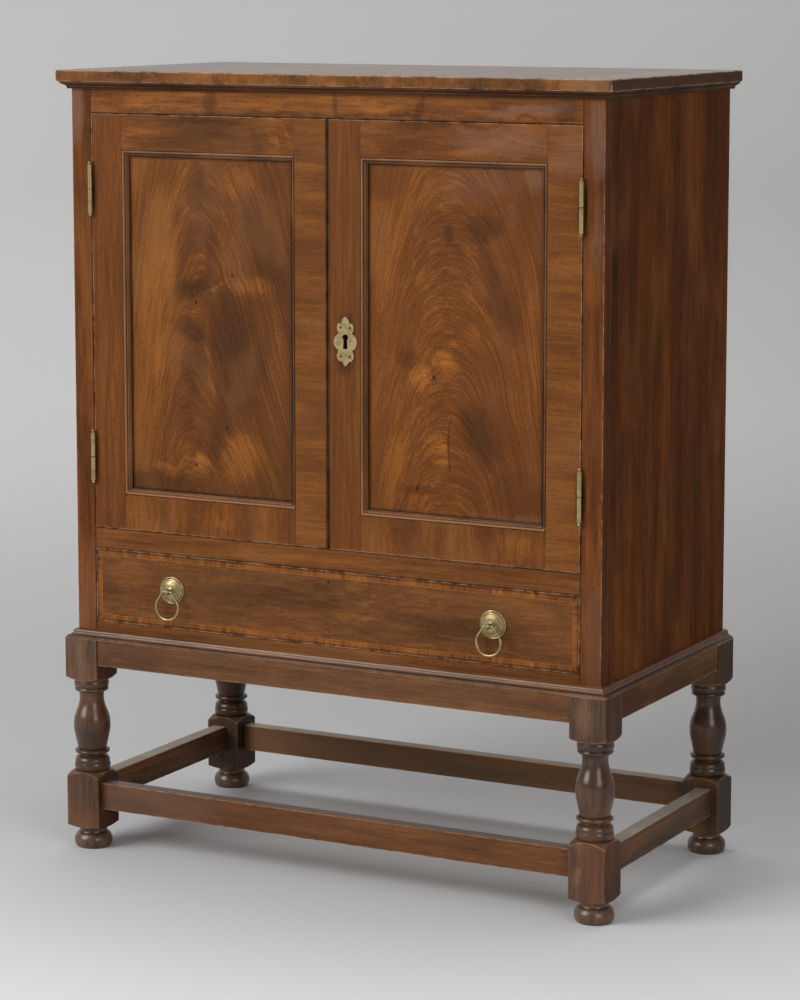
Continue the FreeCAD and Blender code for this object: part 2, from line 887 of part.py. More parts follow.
def make_escutcheon():
    """A pierced plate round the keyhole and its four pins."""
    halves = []
    for side in (-1, 1):
        face = outline(escutcheon_half_shares, lambda u, v, side=side: escutcheon_place(side, u, v))
        halves.append(face.extrude(FRONT * escutcheon_thickness))
    holes = [keyhole(-escutcheon_thickness - overrun, overrun)]
    pins = []
    for share_x, share_z in escutcheon_pin_shares:
        for side in (-1, 1):
            base = escutcheon_place(side, share_x, share_z)
            holes.append(rod(escutcheon_hole_radius, base + FRONT * overrun, BACK, 2 * overrun))
            head = rod(escutcheon_pin_head_radius, base, FRONT, escutcheon_pin_head_height)
            pins.append(join([head, rod(escutcheon_pin_radius, base, BACK, escutcheon_pin_length)]))
    return without(join(halves), holes), pins


def make_lock():
    """The lock in the right door's meeting stile: a hollow case with a sliding bolt."""
    centre_z = escutcheon_foot + keyhole_centre_share * escutcheon_height
    back = door_thickness
    front = door_thickness - lock_depth
    low = centre_z - lock_height / 2
    high = centre_z + lock_height / 2
    left = meeting_edge
    right = meeting_edge + lock_width
    block = box((left, right), (front, back), (low, high))
    selvage = box(
        (left, left + selvage_thickness),
        (back - selvage_width, back),
        (centre_z - selvage_height / 2, centre_z + selvage_height / 2),
    )
    hollow = box(
        (left + selvage_thickness, right - lock_wall),
        (front + lock_wall, back - lock_wall),
        (low + lock_wall, high - lock_wall),
    )
    bolt_foot = centre_z + keyhole_radius + bolt_lift
    bolt_back = back - lock_wall - bolt_slack
    bolt_y = (bolt_back - bolt_thickness, bolt_back)
    bolt_start = left + bolt_set_back
    bolt = box((bolt_start, bolt_start + bolt_length), bolt_y, (bolt_foot, bolt_foot + bolt_height))
    bolt_hole = box(
        (left - overrun, left + overrun),
        (bolt_y[0] - bolt_slack, bolt_y[1] + bolt_slack),
        (bolt_foot - bolt_slack, bolt_foot + bolt_height + bolt_slack),
    )
    mortise = box(
        (-meeting_edge + overrun, -meeting_edge - bolt_throw - bolt_mortise_slack),
        (bolt_y[0] - bolt_mortise_slack, bolt_y[1] + bolt_slack),
        (bolt_foot - bolt_mortise_slack, bolt_foot + bolt_height + bolt_mortise_slack),
    )
    shell = join([block, selvage])
    case = without(shell, [hollow, bolt_hole, keyhole(front - overrun, back - lock_wall)])
    return case, bolt, shell, mortise


def bar_room():
    """The room of a door bolt across the stile and through its thickness."""
    middle = -(meeting_edge + door_stile_width / 2)
    half = bar_width / 2 + bar_slack
    back = door_thickness - bolt_plate_thickness
    return (middle - half, middle + half), (back - bar_thickness - 2 * bar_slack, back)


def make_door_bolt(upward):
    """A flat sliding bolt, its plate and the room it needs in the stile's back. Upward is 1 for
    the bolt at the top of the door and -1 for the one at its foot."""
    room_width, room_thickness = bar_room()
    x = sum(room_width) / 2
    end_z = door_top if upward > 0 else door_foot
    tip = end_z - upward * bar_set_back
    bar = box(
        (room_width[0] + bar_slack, room_width[1] - bar_slack),
        (room_thickness[0] + bar_slack, room_thickness[1] - bar_slack),
        (tip, tip - upward * bar_length),
    )
    knob_z = end_z - upward * bar_length * bar_knob_share
    knob_base = point(x, room_thickness[0] + bar_slack, knob_z)
    knob = rod(bar_knob_radius, knob_base, BACK, door_thickness + bar_knob_reach - knob_base.y)
    plate_tip = end_z - upward * bolt_plate_inset
    plate = box(
        (x - bolt_plate_width / 2, x + bolt_plate_width / 2),
        (door_thickness - bolt_plate_thickness, door_thickness),
        (plate_tip, plate_tip - upward * bolt_plate_length),
    )
    slot_half = bar_knob_radius + bar_slack
    slot = box(
        (x - slot_half, x + slot_half),
        (door_thickness - bolt_plate_thickness - overrun, door_thickness + overrun),
        (knob_z - upward * slot_half, knob_z + upward * (slot_half + bar_throw)),
    )
    groove_end = end_z - upward * (bar_length + bar_set_back + bar_slack)
    groove = box(room_width, room_thickness, (end_z, groove_end))
    return join([bar, knob]), plate.cut(slot), [plate, groove]


def make_doors(hinges):
    """Both doors with their lock, bolts and escutcheon."""
    lock_case, lock_bolt, lock_shell, lock_mortise = make_lock()
    upper_bolt, upper_plate, upper_room = make_door_bolt(1)
    lower_bolt, lower_plate, lower_room = make_door_bolt(-1)
    escutcheon, pins = make_escutcheon()
    lock_front = door_thickness - lock_depth
    left_fittings = upper_room + lower_room + [lock_mortise]
    left_fittings += hinges["left_door_hinge_leaves"] + hinges["left_door_screws"]
    right_fittings = [lock_shell, keyhole(-overrun, lock_front + overrun)] + pins
    right_fittings += hinges["right_door_hinge_leaves"] + hinges["right_door_screws"]
    pieces = make_door("left", -1, left_fittings)
    pieces.update(make_door("right", 1, right_fittings))
    pieces["lock_case"] = [lock_case]
    pieces["lock_bolt"] = [lock_bolt]
    pieces["escutcheon"] = [escutcheon] + pins
    pieces["left_door_upper_bolt"] = [upper_bolt]
    pieces["left_door_lower_bolt"] = [lower_bolt]
    pieces["bolt_plates"] = [upper_plate, lower_plate]
    return pieces


def drawer_side(sign):
    """A drawer side with the dovetails that go into the drawer front."""
    thickness = (sign * drawer_side_inner, sign * drawer_side_outer)
    top = drawer_top - drawer_side_drop
    board = box(thickness, (drawer_front_thickness, drawer_length), (drawer_foot, top))
    pitch = (top - drawer_foot) / dovetail_count
    start_y = drawer_front_thickness - dovetail_length
    parts = [board]
    for i in range(dovetail_count):
        middle = drawer_foot + (i + 1) * pitch - pitch / 2
        corners = [
            point(thickness[0], start_y, middle - dovetail_half_width),
            point(thickness[0], start_y, middle + dovetail_half_width),
            point(thickness[0], drawer_front_thickness, middle + dovetail_half_width - dovetail_flare),
            point(thickness[0], drawer_front_thickness, middle - dovetail_half_width + dovetail_flare),
        ]
        face = Part.Face(Part.makePolygon(corners + corners[:1]))
        parts.append(face.extrude(RIGHT * (thickness[1] - thickness[0])))
    return join(parts)


def drawer_bands():
    """Crossbanding round the drawer front and a thin line inside it, let in flush."""
    strips = []
    for outer, inner in ((0, band_width), (band_width, band_width + string_width)):
        rings = []
        for inset in (outer, inner):
            half = drawer_half - inset
            low = drawer_foot + inset
            high = drawer_top - inset
            spots = ((-half, low), (half, low), (half, high), (-half, high))
            rings.append([point(x, 0, z) for x, z in spots])
        for i in range(len(rings[0])):
            after = (i + 1) % len(rings[0])
            corners = [rings[0][i], rings[0][after], rings[1][after], rings[1][i]]
            strips.append(Part.Face(Part.makePolygon(corners + corners[:1])).extrude(BACK * band_thickness))
    return strips


def make_drawer(stems):
    """The drawer box. Stems are what passes through its front."""
    front = box((-drawer_half, drawer_half), (0, drawer_front_thickness), (drawer_foot, drawer_top))
    inset = band_width + string_width
    rim = box((-drawer_half, drawer_half), (0, band_thickness), (drawer_foot, drawer_top))
    field = box(
        (inset - drawer_half, drawer_half - inset),
        (0, band_thickness),
        (drawer_foot + inset, drawer_top - inset),
    )
    sides = [drawer_side(-1), drawer_side(1)]
    reach = drawer_side_inner + drawer_groove_depth
    bottom = box(
        (-reach, reach),
        (drawer_front_thickness - drawer_groove_depth, drawer_length),
        (drawer_bottom_foot, drawer_bottom_top),
    )
    back_reach = drawer_side_inner + drawer_back_housing
    back = box(
        (-back_reach, back_reach),
        (drawer_length - drawer_side_thickness, drawer_length),
        (drawer_bottom_top, drawer_top - drawer_back_drop),
    )
    return {
        "drawer_front": [without(front, [rim.cut(field), bottom] + sides + stems)],
        "drawer_banding": drawer_bands(),
        "drawer_sides": [without(side, [bottom, back]) for side in sides],
        "drawer_back": [back],
        "drawer_bottom": [bottom],
    }


def ring(x):
    """A pear-shaped ring whose straight top is a pin through the post. Its wire swells from the
    pin to the foot of the ring."""
    shoulder_x = ring_pin_half_length
    shoulder_z = -ring_shoulder_radius
    big = ring_half_width - ring_wire_radius
    big_z = ring_half_width - ring_drop
    run_x = -shoulder_x
    run_z = big_z - shoulder_z
    run = math.hypot(run_x, run_z)
    tangent = math.atan2(run_z, run_x) + math.acos((ring_shoulder_radius - big) / run)
    quarter = math.pi / 2
    shoulder_steps = 4
    bow_steps = 12
    spots = []
    for i in range(shoulder_steps + 1):
        angle = quarter + (tangent - quarter) * i / shoulder_steps
        spots.append((shoulder_x, shoulder_z, ring_shoulder_radius, angle))
    for i in range(bow_steps + 1):
        angle = tangent - (tangent + quarter) * i / bow_steps
        spots.append((0, big_z, big, angle))
    wires = []
    for i, (centre_x, centre_z, radius, angle) in enumerate(spots):
        share = i / (len(spots) - 1)
        swell = ring_pin_radius + (ring_wire_radius - ring_pin_radius) * math.sqrt(share)
        middle = point(
            x + centre_x + radius * math.cos(angle),
            post_head_y,
            pull_height + centre_z + radius * math.sin(angle),
        )
        heading = point(math.sin(angle), 0, -math.cos(angle))
        wires.append(Part.Wire(Part.Circle(middle, heading, swell).toShape()))
    half = Part.makeLoft(wires, True, False)
    pin = rod(
        ring_pin_radius,
        point(x, post_head_y, pull_height),
        RIGHT,
        ring_pin_half_length,
    )
    right = [pin, half]
    left = [piece.mirror(point(x, 0, 0), RIGHT) for piece in right]
    return join(right + left)


def make_pulls():
    """Two pulls, and the room that their stems need in the drawer front."""
    pieces = {"pull_roses": [], "pull_posts": []}
    stems = []
    for side, sign in (("left", -1), ("right", 1)):
        x = sign * pull_spread / 2
        base = point(x, 0, pull_height)
        hole = post_stem_radius + post_stem_clearance
        rose_steps = [(hole, 0)] + scaled(rose_shares, rose_radius, rose_rise) + [(hole, rose_rise)]
        pieces["pull_roses"].append(lathe(rose_steps, base, FRONT, RIGHT))
        stem_end = drawer_front_thickness + post_nut_height + post_nut_height / 2
        head = post_reach - post_head_radius
        neck_end = head - math.sqrt(post_head_radius**2 - post_neck_radius**2)
        collar = rose_rise + post_collar_height
        post_steps = [
            (0, -stem_end),
            (post_stem_radius, -stem_end),
            (post_stem_radius, rose_rise),
            (post_collar_radius, rose_rise),
            (post_collar_radius, rose_rise + post_collar_height / 2),
            (post_neck_radius, collar),
            (post_neck_radius, neck_end),
            (post_head_radius, head, 0, post_reach),
        ]
        post = lathe(post_steps, base, FRONT, RIGHT)
        cross_hole = rod(
            ring_pin_radius + ring_pin_clearance,
            point(x - post_reach, post_head_y, pull_height),
            RIGHT,
            2 * post_reach,
        )
        stem = rod(hole, point(x, -overrun, pull_height), BACK, drawer_front_thickness + 2 * overrun)
        nut_base = point(x, drawer_front_thickness, pull_height)
        nut = Part.Face(Part.Wire(hexagon(nut_base))).extrude(BACK * post_nut_height)
        nut_bore = rod(post_stem_radius, nut_base, BACK, post_nut_height)
        pieces["pull_posts"] += [post.cut(cross_hole), nut.cut(nut_bore)]
        pieces["ring_" + side] = [ring(x)]
        stems.append(stem)
    return pieces, stems


def hexagon(centre):
    """The edges of an upright six-sided nut."""
    corners = []
    for i in range(post_nut_sides):
        angle = 2 * math.pi * i / post_nut_sides
        offset = point(post_nut_radius * math.cos(angle), 0, post_nut_radius * math.sin(angle))
        corners.append(centre + offset)
    return Part.makePolygon(corners + corners[:1]).Edges


def save(pieces):
    """Write one file per node, with the origin moved under the middle of the cabinet."""
    os.makedirs("parts", exist_ok=True)
    for name, solids in pieces.items():
        if len(solids) == 1:
            shape = solids[0].copy()
        else:
            shape = Part.makeCompound(solids)
        shape.translate(FRONT * middle_y)
        shape.exportStep(os.path.join("parts", name + ".step"))
        print(name, len(shape.Solids), round(shape.Volume))


hinge_pieces = make_hinges()
pull_pieces, pull_stems = make_pulls()
cabinet = make_stand()
cabinet.update(make_case(hinge_pieces["hinge_frame_leaves"] + hinge_pieces["hinge_frame_screws"]))
cabinet.update(make_doors(hinge_pieces))
cabinet.update(hinge_pieces)
cabinet.update(make_drawer(pull_stems))
cabinet.update(pull_pieces)
save(cabinet)
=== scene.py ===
"""The looks of a two-door cupboard over one drawer, on a stand with turned legs.

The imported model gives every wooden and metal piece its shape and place. This script gives each of
them its finish, adds slotted screws and the nails of the back, and sets up the floor, the light and
the camera. Lengths are in metres: x runs to the right, y to the back and z up from the floor.
"""

import logging
import math
from dataclasses import dataclass, field, replace
from enum import Enum
from typing import List, Mapping, Optional, Sequence, Tuple, Union

import bmesh
import bpy
from mathutils import Matrix, Vector

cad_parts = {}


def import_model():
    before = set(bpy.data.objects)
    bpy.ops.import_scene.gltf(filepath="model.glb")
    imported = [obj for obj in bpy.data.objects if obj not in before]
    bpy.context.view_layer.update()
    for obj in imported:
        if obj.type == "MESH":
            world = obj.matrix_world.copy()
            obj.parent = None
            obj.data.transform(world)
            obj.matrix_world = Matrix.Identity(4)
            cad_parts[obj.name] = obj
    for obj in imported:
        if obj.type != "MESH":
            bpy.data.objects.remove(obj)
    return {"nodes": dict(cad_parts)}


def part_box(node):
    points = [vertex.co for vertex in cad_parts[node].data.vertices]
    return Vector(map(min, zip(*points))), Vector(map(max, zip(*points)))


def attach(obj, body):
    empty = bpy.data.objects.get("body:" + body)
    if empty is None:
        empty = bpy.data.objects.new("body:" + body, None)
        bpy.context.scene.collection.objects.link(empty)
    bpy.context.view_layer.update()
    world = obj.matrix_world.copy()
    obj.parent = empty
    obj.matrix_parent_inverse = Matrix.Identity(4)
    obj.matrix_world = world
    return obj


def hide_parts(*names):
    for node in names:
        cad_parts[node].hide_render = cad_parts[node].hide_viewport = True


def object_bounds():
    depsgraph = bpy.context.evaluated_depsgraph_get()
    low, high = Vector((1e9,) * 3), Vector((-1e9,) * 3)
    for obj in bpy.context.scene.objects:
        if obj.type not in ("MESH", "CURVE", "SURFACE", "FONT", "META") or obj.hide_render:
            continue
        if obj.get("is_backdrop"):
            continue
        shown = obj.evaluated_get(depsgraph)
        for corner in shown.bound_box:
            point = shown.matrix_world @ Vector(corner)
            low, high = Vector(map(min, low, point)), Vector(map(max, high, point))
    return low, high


log = logging.getLogger("cabinet")

Colour = Tuple[float, float, float]
Socket = bpy.types.NodeSocket

FRONT = -0.2285
MM = 0.001
THIN_COAT = 0.03


def shade(red: float, green: float, blue: float) -> Colour:
    """A colour as a screen shows it, from 0 to 255, made linear.

    Args:
        red: The red part.
        green: The green part.
        blue: The blue part.

    Returns:
        The linear colour.
    """
    parts = []
    for part in (red / 255, green / 255, blue / 255):
        parts.append(part / 12.92 if part <= 0.04045 else ((part + 0.055) / 1.055) ** 2.4)
    return (parts[0], parts[1], parts[2])


def darker(colour: Colour, share: float) -> Colour:
    """A colour with only a share of its light."""
    return (colour[0] * share, colour[1] * share, colour[2] * share)


class Along(Enum):
    """The direction in which a piece and its fibres run."""

    X = 0
    Y = 1
    Z = 2


class Figure(Enum):
    """How the fibres of a face lie."""

    PLAIN = "long even streaks"
    STRIPED = "strong streaks with light and dark bands"
    SWIRL = "streaks that wander and turn back"


class Number:
    """A number that varies over a surface. Python maths on it adds its Math nodes."""

    def __init__(self, surface: "Surface", socket: Socket) -> None:
        """Wraps a socket of the surface's nodes."""
        self.surface = surface
        self.socket = socket

    def __add__(self, other: "Term") -> "Number":
        """This plus the other."""
        return self.surface.maths("ADD", self, other)

    def __radd__(self, other: "Term") -> "Number":
        """The other plus this."""
        return self.surface.maths("ADD", other, self)

    def __sub__(self, other: "Term") -> "Number":
        """This less the other."""
        return self.surface.maths("SUBTRACT", self, other)

    def __rsub__(self, other: "Term") -> "Number":
        """The other less this."""
        return self.surface.maths("SUBTRACT", other, self)

    def __mul__(self, other: "Term") -> "Number":
        """This times the other."""
        return self.surface.maths("MULTIPLY", self, other)

    def __rmul__(self, other: "Term") -> "Number":
        """The other times this."""
        return self.surface.maths("MULTIPLY", other, self)

    def __truediv__(self, other: "Term") -> "Number":
        """This over the other."""
        return self.surface.maths("DIVIDE", self, other)

    def __pow__(self, other: "Term") -> "Number":
        """This to the power of the other."""
        return self.surface.maths("POWER", self, other)

    def __abs__(self) -> "Number":
        """This without its sign."""
        return self.surface.maths("ABSOLUTE", self)

    def floor(self) -> "Number":
        """The whole number below this."""
        return self.surface.maths("FLOOR", self)

    def least(self, other: "Term") -> "Number":
        """The lower of this and the other."""
        return self.surface.maths("MINIMUM", self, other)

    def most(self, other: "Term") -> "Number":
        """The higher of this and the other."""
        return self.surface.maths("MAXIMUM", self, other)

    def fade(self, low: float, high: float, start: float = 0.0, end: float = 1.0) -> "Number":
        """A smooth change from start to end while this goes from low to high.

        Args:
            low: Where the change starts.
            high: Where the change ends.
            start: The value up to low.
            end: The value from high on.

        Returns:
            The changed number.
        """
        node = self.surface.node(
            "ShaderNodeMapRange",
            {"interpolation_type": "SMOOTHSTEP"},
            {0: self, 1: low, 2: high, 3: start, 4: end},
        )
        return Number(self.surface, node.outputs[0])

    def drop(self, low: float, high: float, start: float = 1.0) -> "Number":
        """A smooth change from start down to 0 while this goes from low to high."""
        return self.fade(low, high, start, 0.0)


Term = Union[Number, float]
Feed = Union[Number, Socket, float, Sequence[float]]


class Surface:
    """The nodes of one material, laid out from Python expressions."""

    def __init__(self, name: str) -> None:
        """Starts an empty material of that name and reads the place on the piece."""
        self.material = bpy.data.materials.new(name)
        self.material.use_nodes = True
        self.tree = self.material.node_tree
        self.tree.nodes.clear()
        self.place: Socket = self.node("ShaderNodeTexCoord").outputs["Object"]
        split = self.node("ShaderNodeSeparateXYZ", values={0: self.place})
        self.axes = [Number(self, socket) for socket in split.outputs]
        self._loose: Optional[Tuple[Number, Number]] = None

    def node(
        self,
        kind: str,
        settings: Optional[Mapping[str, object]] = None,
        values: Optional[Mapping[Union[int, str], Feed]] = None,
    ) -> bpy.types.Node:
        """Makes a node of any kind.

        Args:
            kind: The node's type.
            settings: What is set on the node itself, first. The stops of a ramp are a list of
                places and colours.
            values: What is set on, or linked to, its sockets.

        Returns:
            The node.
        """
        node = self.tree.nodes.new(kind)
        for key, value in (settings or {}).items():
            if key == "stops":
                self._set_stops(node.color_ramp, value)
            else:
                setattr(node, key, value)
        for key, value in (values or {}).items():
            socket = node.inputs[key]
            if isinstance(value, Number):
                self.tree.links.new(value.socket, socket)
            elif isinstance(value, bpy.types.NodeSocket):
                self.tree.links.new(value, socket)
            elif isinstance(value, (tuple, list)) and socket.type == "RGBA":
                socket.default_value = (*value, 1.0)
            else:
                socket.default_value = value
        return node

    @staticmethod
    def _set_stops(ramp: bpy.types.ColorRamp, stops: Sequence[Tuple[float, Colour]]) -> None:
        """Gives a colour ramp its places and colours."""
        while len(ramp.elements) < len(stops):
            ramp.elements.new(1.0)
        for element, (place, colour) in zip(ramp.elements, stops):
            element.position = place
            element.color = (*colour, 1.0)

    def maths(self, operation: str, *terms: Term) -> Number:
        """One Math node on one to three terms."""
        node = self.node("ShaderNodeMath", {"operation": operation}, dict(enumerate(terms)))
        return Number(self, node.outputs[0])

    def vector(self, x: Term, y: Term, z: Term) -> Socket:
        """A vector from three numbers."""
        return self.node("ShaderNodeCombineXYZ", values={0: x, 1: y, 2: z}).outputs[0]

    def noise(self, place: Socket, scale: float, detail: float = 2.0, roughness: float = 0.5) -> Number:
        """Soft noise around 0.5.

        Args:
            place: Where it is read.
            scale: How many of its lumps fit into a metre.
            detail: How many finer layers it has.
            roughness: How strong the finer layers are.

        Returns:
            The noise.
        """
        values = {"Vector": place, "Scale": scale, "Detail": detail, "Roughness": roughness}
        return Number(self, self.node("ShaderNodeTexNoise", values=values).outputs[0])

    def loose(self) -> Tuple[Number, Number]:
        """The places to the right and up, bent a little, so that patches get uneven rims."""
        if self._loose is None:
            x, y, z = self.axes
            first = self.noise(self.vector(x, y, z * 0.5), 24.0, 3.0, 0.6) - 0.5
            second = self.noise(self.vector(z, x, y), 17.0, 3.0, 0.6) - 0.5
            self._loose = (x + first * 0.030, z + second * 0.055)
        return self._loose

    def chance(self, cell: Number) -> Number:
        """A random number from 0 to 1 for each whole number."""
        node = self.node("ShaderNodeTexWhiteNoise", {"noise_dimensions": "1D"}, {"W": cell})
        return Number(self, node.outputs["Value"])

    def ramp(self, factor: Number, stops: Sequence[Tuple[float, Colour]]) -> Socket:
        """Colours along a number."""
        return self.node("ShaderNodeValToRGB", {"stops": stops}, {0: factor}).outputs[0]

    def mix(self, factor: Term, first: Feed, second: Feed, way: str = "MIX") -> Socket:
        """Two colours mixed.

        Args:
            factor: How much of the second, from 0 to 1.
            first: The first colour.
            second: The second colour.
            way: The kind of mix.

        Returns:
            The mixed colour.
        """
        settings = {"data_type": "RGBA", "blend_type": way}
        return self.node("ShaderNodeMix", settings, {0: factor, 6: first, 7: second}).outputs[2]

    def bump(self, height: Number, strength: float, distance: float) -> Socket:
        """A normal turned by a height."""
        values = {"Strength": strength, "Distance": distance, "Height": height}
        return self.node("ShaderNodeBump", values=values).outputs[0]

    def finish(self, values: Mapping[str, Feed]) -> bpy.types.Material:
        """Ends the material with its shader.

        Args:
            values: What the shader's sockets get.

        Returns:
            The material.
        """
        shader = self.node("ShaderNodeBsdfPrincipled", values=values)
        self.node("ShaderNodeOutputMaterial", values={"Surface": shader.outputs[0]})
        return self.material


@dataclass(frozen=True)
class Block:
    """A box round one or more pieces, and the direction in which its worn edges run."""

    low: Vector
    high: Vector
    along: Optional[Along] = None

    @staticmethod
    def of(*nodes: str, along: Optional[Along] = None) -> "Block":
        """The box round the named pieces.

        Args:
            nodes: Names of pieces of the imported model.
            along: The direction of the worn edges, or None for all edges.

        Returns:
            The box.
        """
        boxes = [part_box(node) for node in nodes]
        low = Vector([min(box[0][i] for box in boxes) for i in range(3)])
        high = Vector([max(box[1][i] for box in boxes) for i in range(3)])
        return Block(low, high, along)

    def depths(self, surface: Surface) -> List[Number]:
        """How far a place lies inside the box along each direction."""
        found = []
        for axis, low, high in zip(surface.axes, self.low, self.high):
            found.append((axis - low).least(high - axis))
        return found

    def nearest_edge(self, surface: Surface) -> Number:
        """The distance from the nearest edge of the box that counts."""
        depths = self.depths(surface)
        if self.along is not None:
            depths.pop(self.along.value)
            return depths[0].most(depths[1])
        low = depths[0].least(depths[1])
        high = depths[0].most(depths[1])
        return low.most(high.least(depths[2]))


@dataclass(frozen=True)
class Patch:
    """A lighter or darker, soft-edged place on the front. Its width and height run from its middle
    to its rim, and lean is the angle in degrees by which its top tips to the right."""

    x: float
    z: float
    width: float
    height: float
    lift: float
    lean: float = 0.0
    crisp: bool = False

    def mask(self, surface: Surface) -> Number:
        """From 1 in the middle to 0 at the rim."""
        x, z = (surface.axes[0], surface.axes[2]) if self.crisp else surface.loose()
        right = x - self.x
        above = z - self.z
        cosine = math.cos(math.radians(self.lean))
        sine = math.sin(math.radians(self.lean))
        across = right * (cosine / self.width) - above * (sine / self.width)
        up = right * (sine / self.height) + above * (cosine / self.height)
        return (across * across + up * up).drop(0.0, 1.0)


@dataclass(frozen=True)
class Joint:
    """A dark line where two pieces or two lengths of veneer meet, across one direction. Along a gap round
    a door or the drawer it is painted shade.
    """

    across: Along
    place: float
    width: float = 0.7 * MM

    def mask(self, surface: Surface) -> Number:
        """1 on the line and 0 beside it and behind the front."""
        line = abs(surface.axes[self.across.value] - self.place).drop(0.3 * self.width, self.width)
        return line * (surface.axes[1] - FRONT).drop(1.0 * MM, 3.0 * MM)


@dataclass(frozen=True)
class Segments:
    """Veneer laid in short lengths along a piece."""

    along: Along
    length: float
    spread: float = 0.16
    joint: float = 0.0005


@dataclass(frozen=True)
class Streaks:
    """Noise that is stretched along the fibres: how many of its lumps fit into a metre across, the
    share of that along the fibres, and how many and how strong its finer layers are."""

    scale: float
    stretch: float
    detail: float = 2.0
    roughness: float = 0.5

    def on(self, surface: Surface, across: Term, deep: Term, lengthways: Number) -> Number:
        """Reads the noise.

        Args:
            surface: The material's nodes.
            across: The place across the fibres.
            deep: The place into the piece.
            lengthways: The place along the fibres.

        Returns:
            The noise, around 0.5.
        """
        place = surface.vector(across, deep, lengthways * self.stretch)
        return surface.noise(place, self.scale, self.detail, self.roughness)


SWIRLS = Streaks(7.5, 0.55, 1.0)
BANDS = Streaks(5.0, 0.4, 1.0)
SWAY = Streaks(9.0, 0.5)
STRANDS = Streaks(190.0, 0.06, 3.0, 0.62)
FIBRES = Streaks(520.0, 0.035, roughness=0.6)
CLOUDS = Streaks(11.0, 0.45, roughness=0.55)
PORES = Streaks(1300.0, 0.07, 1.0)
MOULDING_FIBRES = Streaks(420.0, 0.05, roughness=0.6)
MOULDING_CLOUDS = Streaks(14.0, 0.45, roughness=0.55)
MOULDING_PORES = Streaks(1200.0, 0.07, 1.0)
BARE_SWAY = Streaks(8.0, 0.4)
BARE_RINGS = Streaks(70.0, 0.03, 4.0, 0.6)
BARE_FIBRES = Streaks(600.0, 0.03, roughness=0.6)
BARE_DIRT = Streaks(6.0, 0.3, 4.0, 0.6)


@dataclass(frozen=True)
class Tones:
    """The darkest, the middle and the lightest streaks of a wood."""

    dark: Colour
    middle: Colour
    light: Colour


@dataclass(frozen=True)
class Grain:
    """The streaks of a wood: how many broad ones fit into a metre across, how stretched they are,
    how far they wander, and how much they, the strands, the fibres and the grit stand out."""

    streaks: float = 45.0
    stretch: float = 0.055
    wander: float = 0.010
    contrast: float = 1.0
    strand: float = 0.26
    fibre: float = 0.16
    grit: float = 0.30


@dataclass(frozen=True)
class Polish:
    """The roughness, the reflection and the top coat of a polished wood."""

    gloss: float = 0.40
    shine: float = 0.11
    coat: float = 0.0


@dataclass(frozen=True)
class WearAndHighlight:
    """Light edges where the polish is rubbed off, with a painted highlight where the edges catch the
    light.
    """

    share: float = 0.55
    colour: Colour = (0.42, 0.27, 0.16)
    width: float = 1.5 * MM


@dataclass(frozen=True)
class Cloud:
    """Soft patches of another hue."""

    share: float = 0.25
    colour: Colour = (0.20, 0.085, 0.03)


@dataclass(frozen=True)
class DustAndSheen:
    """A paler upper face: lying dust and a painted sheen."""

    share: float = 0.0
    colour: Colour = shade(122, 119, 115)


